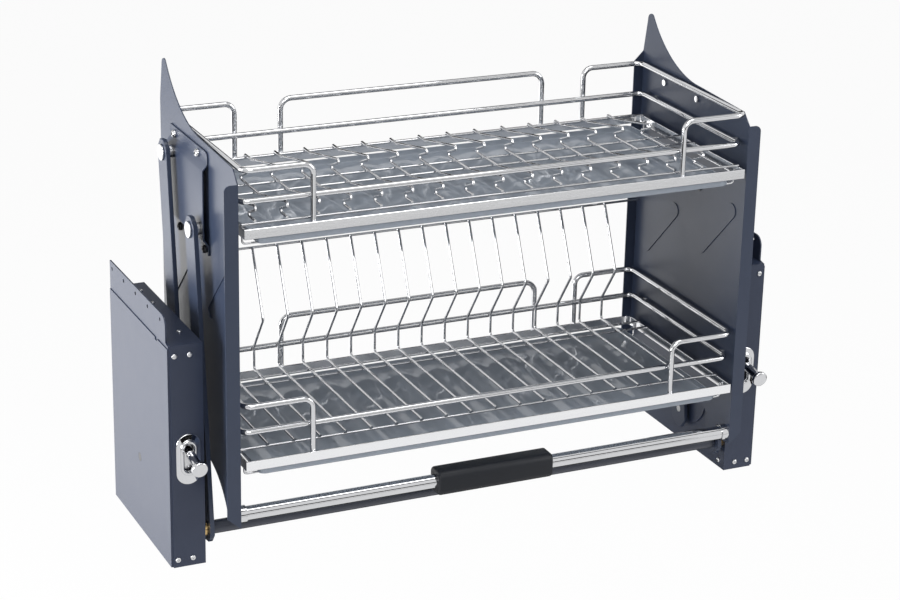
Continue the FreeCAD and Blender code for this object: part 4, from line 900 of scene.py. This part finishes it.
@dataclass
class Basket:
    """One basket: its flat-bar frame, rails, floor rods, wires, hangers and drip tray."""

    shop: Shop
    name: str
    frame_rise: float
    loop_over: float
    rail_over: float
    rods: tuple[float, ...]
    rod: float = 1.75
    rail: float = 3.75
    wire: float = 1.9
    side: float = 350.8
    rail_side: float = 350.3
    loop_front: float = 294.55
    loop_back: float = 9.55
    ring_in: float = 7.7
    leg: float = 259.0
    back_leg: float = 194.0
    sunk: float = 10.0
    bar_high: float = 12.8
    bar_thick: float = 2.5
    bar_edge: float = 0.4
    frame_reach: Pair = (13.5, 301.0)
    frame_corner: float = 12.0
    loop_bend: float = 13.0
    back_bend: float = 15.0
    ring_bend: float = 11.0
    hangers: Pair = (34.0, 281.0)
    hanger_across: Pair = (346.7, 322.0)
    hanger_radius: float = 1.4
    hanger_bend: float = 4.0
    hanger_up: float = 8.0
    tray_half: float = 332.0
    tray_reach: Pair = (20.0, 296.0)
    tray_corner: float = 10.0
    tray_drop: float = 0.8
    tray_deep: float = 9.0
    tray_wall: float = 1.6
    tray_play: float = 0.3
    tray_edge: Pairs = ((0.0, 0.0), (0.15, 5.0), (0.6, 7.6), (1.6, 8.6), (3.2, 9.0), (6.0, 9.0))
    tray_rows: int = 14
    waves: int = 12
    wave_steps: int = 16
    wave_high: float = 1.6
    rail_facets: int = 16
    wire_facets: int = 12
    hanger_facets: int = 10
    wire_bend: float = 1.6
    wire_first: float = -332.0
    wire_pitch: float = 41.7
    wire_count: int = 16

    @property
    def top(self) -> float:
        """Return the rise of the frame's top edge."""
        return self.frame_rise + self.bar_high

    @property
    def wire_rise(self) -> float:
        """Return the rise of the middle line of a wire that lies on the floor rods."""
        return self.top + 2 * self.rod + self.wire

    def build(self) -> None:
        """Make and dress the basket."""
        self.flat_bar()
        self.rails()
        self.floor_rods()
        self.hanger_wires()
        self.wires()
        self.tray()

    def bent(self, name: str, paths: list[Path], radius: float, facets: int, node: str, count: int = 1,
             pitch: float = 0.0) -> None:
        """Bend chromed stock along paths and fix it to the carriage.

        Args:
            name: the piece's name.
            paths: its paths.
            radius: the stock's radius in mm.
            facets: the sides of its section.
            node: the CAD node that it stands for.
            count: how many stand in the row.
            pitch: how far apart, in mm.
        """
        piece = self.shop.sweep.run(name, paths, radius, Look.CHROME, facets, count, pitch)
        dressed(piece, Look.CHROME, "carriage", "chrome_plate", node)

    def rails(self) -> None:
        """Bend the back loop, the two side loops and the ring."""
        loop, low = self.top + self.loop_over, self.top - self.sunk
        front, back, side = self.loop_front, self.loop_back, self.rail_side
        ends = (-self.back_leg, self.back_leg)
        corners = [(ends[0], back, low), (ends[0], back, loop), (ends[1], back, loop), (ends[1], back, low)]
        paths = [Path(corners, self.back_bend)]
        for sign in SIDES.values():
            leg, far = sign * self.leg, sign * side
            corners = [(leg, front, low), (leg, front, loop), (far, front, loop)]
            corners += [(far, back, loop), (leg, back, loop), (leg, back, low)]
            paths.append(Path(corners, self.loop_bend))
        ring = self.top + self.rail_over
        front, back = front - self.ring_in, back + self.ring_in
        corners = [(-side, front, ring), (side, front, ring), (side, back, ring), (-side, back, ring)]
        paths.append(Path(corners, self.ring_bend, True))
        self.bent(f"{self.name}_bent_rails", paths, self.rail, self.rail_facets,
                  f"{self.name}_basket_rails")

    def floor_rods(self) -> None:
        """Lay the straight rods across the frame's top."""
        half, rise = self.side - self.bar_thick / 2, self.top + self.rod
        paths = [Path([(-half, reach, rise), (half, reach, rise)]) for reach in self.rods]
        self.bent(f"{self.name}_rods", paths, self.rod, self.wire_facets, f"{self.name}_floor_rods")

    def hanger_wires(self) -> None:
        """Bend the four hangers that the tray slides on."""
        foot = self.frame_rise - self.tray_drop - self.tray_deep - self.tray_play - self.hanger_radius
        outer, inner = self.hanger_across
        paths = []
        for sign in SIDES.values():
            for reach in self.hangers:
                corners = [(sign * outer, reach, self.frame_rise + self.hanger_up),
                           (sign * outer, reach, foot), (sign * inner, reach, foot)]
                paths.append(Path(corners, self.hanger_bend))
        self.bent(f"{self.name}_hanger_wires", paths, self.hanger_radius, self.hanger_facets,
                  f"{self.name}_tray_hangers")

    def flat_bar(self) -> None:
        """Bend the flat bar of the frame: mitred at the front, rounded at the back, its edges eased."""
        high, thick, edge = self.bar_high, self.bar_thick, self.bar_edge
        section = [(0.0, edge), (0.0, high - edge), (edge, high), (thick - edge, high)]
        section += [(thick, high - edge), (thick, edge), (thick - edge, 0.0), (edge, 0.0)]
        shell, rings, steps = Shell(), [], 8
        for inset, up in section:
            side, bend = self.side - inset, self.frame_corner - inset
            front, back = self.frame_reach[1] - inset, self.frame_reach[0] + inset
            outline = [(-side, front), (side, front)]
            for sign, turns in ((1, range(steps + 1)), (-1, range(steps, -1, -1))):
                for number in turns:
                    angle = math.pi / 2 * number / steps
                    across = side - bend + bend * math.cos(angle)
                    outline.append((sign * across, back + bend - bend * math.sin(angle)))
            rings.append(shell.ring([at(across, reach, self.frame_rise + up) for across, reach in outline]))
        shell.skin(rings + rings[:1])
        piece = shell.piece(f"{self.name}_flat_bar", sharp=30)
        dressed(piece, Look.BRIGHT_BAR, "carriage", "chrome_plate", f"{self.name}_basket_frame")

    def wires(self) -> None:
        """Bend the row of wires that this basket holds: each kind of basket has its own."""
        raise NotImplementedError

    def row(self, node: str, corners: list[Pair]) -> None:
        """Bend a row of equal wires.

        Args:
            node: the CAD node that they stand for.
            corners: a wire's corners, in mm forward and up.
        """
        path = Path([(self.wire_first, *corner) for corner in corners], self.wire_bend)
        self.bent(f"{node}_bent", [path], self.wire, self.wire_facets, node, self.wire_count,
                  self.wire_pitch)

    def tray(self) -> None:
        """Form the clear drip tray: a waved floor with rounded corners and raised sides."""
        top = self.frame_rise - self.tray_drop
        half, corner = self.tray_half, self.tray_corner
        back, front = self.tray_reach
        middle, half_deep = (front + back) / 2, (front - back) / 2
        inset, drop = zip(*self.tray_edge)

        def stations(low: float, high: float, count: int) -> list[float]:
            """Space the grid's lines: close together at both edges and even between them.

            Args:
                low: where the first line lies.
                high: where the last line lies.
                count: how many even spaces there are.

            Returns:
                Where the lines lie.
            """
            run = high - low - 2 * inset[-1]
            between = [low + inset[-1] + run * number / count for number in range(1, count)]
            return [low + step for step in inset] + between + [high - step for step in reversed(inset)]

        def level(across: float, reach: float) -> float:
            """Find how far the tray's outer face lies below its rim.

            Args:
                across: the point's distance from the rack's middle.
                reach: the point's distance from the back plane.

            Returns:
                The distance down.
            """
            edge = min(half - abs(across), front - reach, reach - back)
            for number in range(len(inset) - 1):
                if edge <= inset[number + 1]:
                    part = (edge - inset[number]) / (inset[number + 1] - inset[number])
                    return drop[number] + (drop[number + 1] - drop[number]) * part
            fade = min(1.0, (edge - inset[-1]) / corner)
            turn = 2 * math.pi * self.waves * (across + half - corner) / (2 * half - 2 * corner)
            return self.tray_deep - self.wave_high * fade * (0.5 - 0.5 * math.cos(turn)) ** 2

        def rounded(across: float, reach: float) -> Pair:
            """Draw a point of the square grid in to the tray's rounded corner.

            Args:
                across: the point's distance from the rack's middle.
                reach: the point's distance from the back plane.

            Returns:
                Both distances after it.
            """
            dx = abs(across) - (half - corner)
            dy = abs(reach - middle) - (half_deep - corner)
            if dx <= 0 or dy <= 0:
                return across, reach
            far = max(dx, dy) / math.hypot(dx, dy)
            return (math.copysign(half - corner + dx * far, across),
                    middle + math.copysign(half_deep - corner + dy * far, reach - middle))

        columns = stations(-half, half, self.waves * self.wave_steps)
        shell = Shell()
        grid = [shell.ring([at(*rounded(across, reach), top - level(across, reach)) for across in columns])
                for reach in stations(back, front, self.tray_rows)]
        for one, two in zip(grid, grid[1:]):
            for number in range(len(one) - 1):
                shell.cap([one[number], one[number + 1], two[number + 1], two[number]])
        mesh = shell.mesh(f"{self.name}_formed_tray")
        if mesh.polygons[len(mesh.polygons) // 2].normal.z > 0:
            mesh.flip_normals()
        piece = linked(f"{self.name}_formed_tray", mesh)
        wall = piece.modifiers.new("Wall", "SOLIDIFY")
        wall.thickness = self.tray_wall / 1000
        wall.offset = -1
        applied(piece)
        shaded(piece.data, sharp=60)
        dressed(piece, Look.TRAY, f"{self.name}_tray", "clear_tray", f"{self.name}_tray")


@dataclass
class BowlBasket(Basket):
    """The upper basket, with its row of saw-tooth bowl wires."""

    name: str = "upper"
    frame_rise: float = 453.8
    loop_over: float = 72.8
    rail_over: float = 31.0
    rods: tuple[float, ...] = (26.5, 137.5, 172.5, 286.0)
    hook_down: float = 4.5
    hook_play: float = 0.2
    teeth: Pair = (45.0, 189.0)
    tooth_run: float = 100.0
    tooth_back: float = 24.0
    tooth_high: float = 19.0
    tooth_nose: float = 4.6
    wire_end: float = 287.0

    def wires(self) -> None:
        """Bend the bowl wires, which hook down behind the back rod and rise in two saw teeth."""
        base = self.wire_rise
        hook = self.rods[0] - self.rod - self.wire - self.hook_play
        corners = [(hook, base - self.hook_down), (hook, base)]
        high, nose = self.tooth_high, self.tooth_nose
        for start in self.teeth:
            peak = start + self.tooth_run
            valley = peak - self.tooth_back
            corners += [(start, base), (peak - nose / 2, base + high), (peak, base + high - nose),
                        (valley, base + nose), (valley + nose / 2, base)]
        self.row("bowl_wires", [*corners, (self.wire_end, base)])


@dataclass
class PlateBasket(Basket):
    """The lower basket, with its row of kneed plate wires and the rod behind their tops."""

    name: str = "lower"
    frame_rise: float = 147.0
    loop_over: float = 71.4
    rail_over: float = 34.2
    rods: tuple[float, ...] = (46.0, 70.0, 265.0)
    wire_bend: float = 5.0
    wire_first: float = -309.8
    wire_pitch: float = 35.7
    wire_count: int = 18
    wire_ends: Pair = (268.0, 23.2)
    knee: Pairs = ((23.2, 198.5), (59.5, 250.0), (18.5, 340.0))
    top_rod: Point = (356.2, 14.85, 338.25)

    def wires(self) -> None:
        """Bend the plate wires, which rise at the back, and lay the rod behind their tops."""
        half, *place = self.top_rod
        ends = [(sign * half, *place) for sign in SIDES.values()]
        self.bent("plate_top_rod_drawn", [Path(ends)], self.rod, self.wire_facets, "plate_top_rod")
        self.row("plate_wires", [*((reach, self.wire_rise) for reach in self.wire_ends), *self.knee])


@dataclass
class Handle:
    """The pull handle: tube, end collars, screws and the soft grip."""

    shop: Shop
    reach: float = 284.3
    rise: float = 82.0
    radius: float = 9.5
    half: float = 354.2
    grip: Point = (83.0, 16.5, 17.0)
    grip_round: float = 9.0
    grip_end: float = 6.0
    grip_sink: float = 5.0
    grip_edge: Pairs = ((0.0, 3.0), (0.5, 1.6), (1.6, 0.5), (3.2, 0.0))

    def build(self) -> None:
        """Make and dress the handle."""
        ends = [(sign * self.half, self.reach, self.rise) for sign in SIDES.values()]
        piece = self.shop.sweep.run("handle_tube_drawn", [Path(ends)], self.radius, Look.CHROME, facets=40)
        dressed(piece, Look.CHROME, "carriage", "chrome_plate", "handle_tube")
        pressed("handle_collars", Look.CHROME, "chrome_plate", soften=0.5)
        pressed("handle_screws", Look.ZINC, "bright_steel", soften=0.3)
        self.soft_grip()

    def soft_grip(self) -> None:
        """Form the rubber grip: a rounded block with eased ends."""
        half, deep, tall = self.grip
        stations = [(-half + run, inset) for run, inset in self.grip_edge]
        stations += [(-across, inset) for across, inset in reversed(stations)]
        stations = [(-half, self.grip_end), *stations, (half, self.grip_end)]
        shell, rings, steps = Shell(), [], 48
        for across, inset in stations:
            bend = self.grip_round - min(inset, self.grip_sink)
            loop = []
            for number in range(steps):
                angle = 2 * math.pi * (number + 0.5) / steps
                cos, sin = math.cos(angle), math.sin(angle)
                out = math.copysign(deep - inset - bend, cos) + bend * cos
                up = math.copysign(tall - inset - bend, sin) + bend * sin
                loop.append(at(across, self.reach + out, self.rise + up))
            rings.append(shell.ring(loop))
        shell.skin(rings)
        shell.cap(rings[0])
        shell.cap(rings[-1])
        piece = shell.piece("soft_grip", sharp=50)
        dressed(piece, Look.RUBBER, "carriage", "black_rubber", "handle_grip")


# ---------------------------------------------------------------- the studio


@dataclass
class Studio:
    """The camera at the photograph's angle, a pale floor and soft lamps."""

    place: Point = (-1.2951, -2.7662, 1.4083)
    yaw: float = -25.007
    pitch: float = 20.313
    roll: float = 1.288
    lens: float = 96.895
    sensor: float = 36.0
    floor_half: float = 40.0
    floor_rise: float = -0.47
    floor_tone: Point = (0.9, 0.9, 0.91)
    floor_glow: float = 0.94
    room_light: float = 0.32
    card_lift: float = 0.003
    lamps: tuple[tuple[str, Point, Point, Pair, float], ...] = (
        ("left_window", (-2.3, 0.05, 0.5), (-0.4, 0, 0.3), (1.0, 0.9), 62.0),
        ("front_window", (-1.0, -3.8, 2.4), (0, 0, 0.3), (2.4, 1.4), 44.0),
        ("overhead", (0.0, -0.7, 3.2), (0, 0, 0.3), (2.6, 1.2), 40.0),
        ("right_window", (3.0, -2.0, 1.6), (0, 0, 0.3), (1.2, 1.8), 40.0),
    )

    def build(self) -> None:
        """Set up the whole studio."""
        self.camera()
        self.light()
        self.floor()
        self.flags()
        self.world()
        bpy.context.scene.view_settings.view_transform = "Standard"

    def camera(self) -> None:
        """Stand the camera where the photograph was taken from."""
        data = bpy.data.cameras.new("camera")
        data.lens = self.lens
        data.sensor_width = self.sensor
        camera = bpy.data.objects.new("camera", data)
        bpy.context.scene.collection.objects.link(camera)
        yaw, pitch, roll = (math.radians(angle) for angle in (self.yaw, self.pitch, self.roll))
        back = Vector((math.sin(yaw) * math.cos(pitch), -math.cos(yaw) * math.cos(pitch), math.sin(pitch)))
        right = (-back).cross(Vector((0, 0, 1))).normalized()
        up = right.cross(-back)
        across = math.cos(roll) * right + math.sin(roll) * up
        above = -math.sin(roll) * right + math.cos(roll) * up
        turn = Matrix((across, above, back)).transposed().to_4x4()
        camera.matrix_world = Matrix.Translation(self.place) @ turn
        bpy.context.scene.camera = camera

    def light(self) -> None:
        """Hang the soft lamps."""
        for name, place, aim, size, power in self.lamps:
            data = bpy.data.lights.new(name, "AREA")
            data.shape = "RECTANGLE"
            data.size, data.size_y = size
            data.energy = power
            lamp = bpy.data.objects.new(name, data)
            lamp.location = place
            lamp.rotation_euler = (Vector(aim) - Vector(place)).to_track_quat("-Z", "Y").to_euler()
            bpy.context.scene.collection.objects.link(lamp)

    def sheet(self, name: str, place: Point, across: Point, up: Point) -> tuple[
            bpy.types.Object, Tree, bpy.types.Node]:
        """Put up a flat sheet whose material has no shader yet.

        Args:
            name: the sheet's name.
            place: its middle in the frame.
            across: from its middle to one side.
            up: from its middle to the next side.

        Returns:
            The sheet, its material's tree and that tree's output node.
        """
        mesh = bpy.data.meshes.new(name)
        spot, across, up = Vector(place), Vector(across), Vector(up)
        corners = [spot + x * across + y * up for x, y in ((-1, -1), (1, -1), (1, 1), (-1, 1))]
        mesh.from_pydata(corners, [], [(0, 1, 2, 3)])
        made = bpy.data.materials.new(name)
        made.use_nodes = True
        nodes = made.node_tree.nodes
        nodes.remove(nodes["Principled BSDF"])
        mesh.materials.append(made)
        return linked(name, mesh), Tree(made.node_tree), nodes["Material Output"]

    def floor(self) -> None:
        """Lay the pale floor, which shows white to the camera and keeps a soft shadow."""
        far = self.floor_half
        floor, tree, end = self.sheet("floor", (0, 0, self.floor_rise), (far, 0, 0), (0, far, 0))
        mask = tree.background() * self.floor_glow
        matt = tree.node("ShaderNodeBsdfDiffuse", inputs={"Color": (*self.floor_tone, 1)})
        glow = tree.node("ShaderNodeEmission", inputs={"Color": (1, 1, 1, 1), "Strength": 1.0})
        both = tree.node("ShaderNodeMixShader", inputs={0: mask, 1: matt, 2: glow})
        tree.into(both, end, "Surface")

    def flags(self) -> None:
        """Put up dark and bright cards round the rack, which only its reflections show."""
        low = self.floor_rise + self.card_lift
        cards = [
            ("card_front", 0.01, (-0.4, -4.4, 0.45), (3.0, 0, 0), (0, 0, 0.45)),
            ("card_back", 0.02, (1.2, 3.6, 1.45), (3.0, 0, 0), (0, 0, 0.6)),
            ("card_top_back", 0.02, (0.8, 1.7, 3.0), (2.6, 0, 0), (0, 0.8, 0)),
            ("card_right", 0.01, (3.3, 1.2, low), (1.9, 0, 0), (0, 1.9, 0)),
            ("card_under", 0.05, (0.5, 0.6, low), (0.9, 0, 0), (0, 0.6, 0)),
            ("card_near", 0.45, (1.05, -2.4, low), (1.3, 0, 0), (0, 0.35, 0)),
            ("card_left", 0.02, (-3.3, -2.0, low), (1.2, 0, 0), (0, 1.6, 0)),
            ("card_ceiling", 0.02, (0.2, -2.0, 3.1), (2.6, 0, 0), (0, 0.35, 0)),
            ("card_bright", 2.3, (-1.7, 2.05, low + 0.002), (0.95, 0, 0), (0, 1.35, 0)),
        ]
        for name, strength, place, across, up in cards:
            card, tree, end = self.sheet(name, place, across, up)
            glow = tree.node("ShaderNodeEmission", inputs={"Color": (1, 1, 1, 1), "Strength": strength})
            tree.into(glow, end, "Surface")
            card.visible_camera = False
            card.visible_diffuse = False
            card.visible_shadow = False
            card.visible_transmission = False

    def world(self) -> None:
        """Light the room softly and show its background white."""
        world = bpy.data.worlds.new("room")
        world.use_nodes = True
        bpy.context.scene.world = world
        tree = Tree(world.node_tree)
        background = world.node_tree.nodes["Background"]
        strength = self.room_light + tree.background() * (1 - self.room_light)
        tree.into(strength, background, "Strength")
        background.inputs["Color"].default_value = (1, 1, 1, 1)


def main() -> None:
    """Build the rack's sub-assemblies in order, then the studio."""
    shop = Shop()
    SpringBoxes(shop).build()
    Linkage(shop).build()
    SidePanels(shop).build()
    BowlBasket(shop).build()
    PlateBasket(shop).build()
    pressed("basket_studs", Look.CHROME, "chrome_plate", soften=0.0)
    Handle(shop).build()
    Studio().build()


if __name__ == "__main__":
    main()
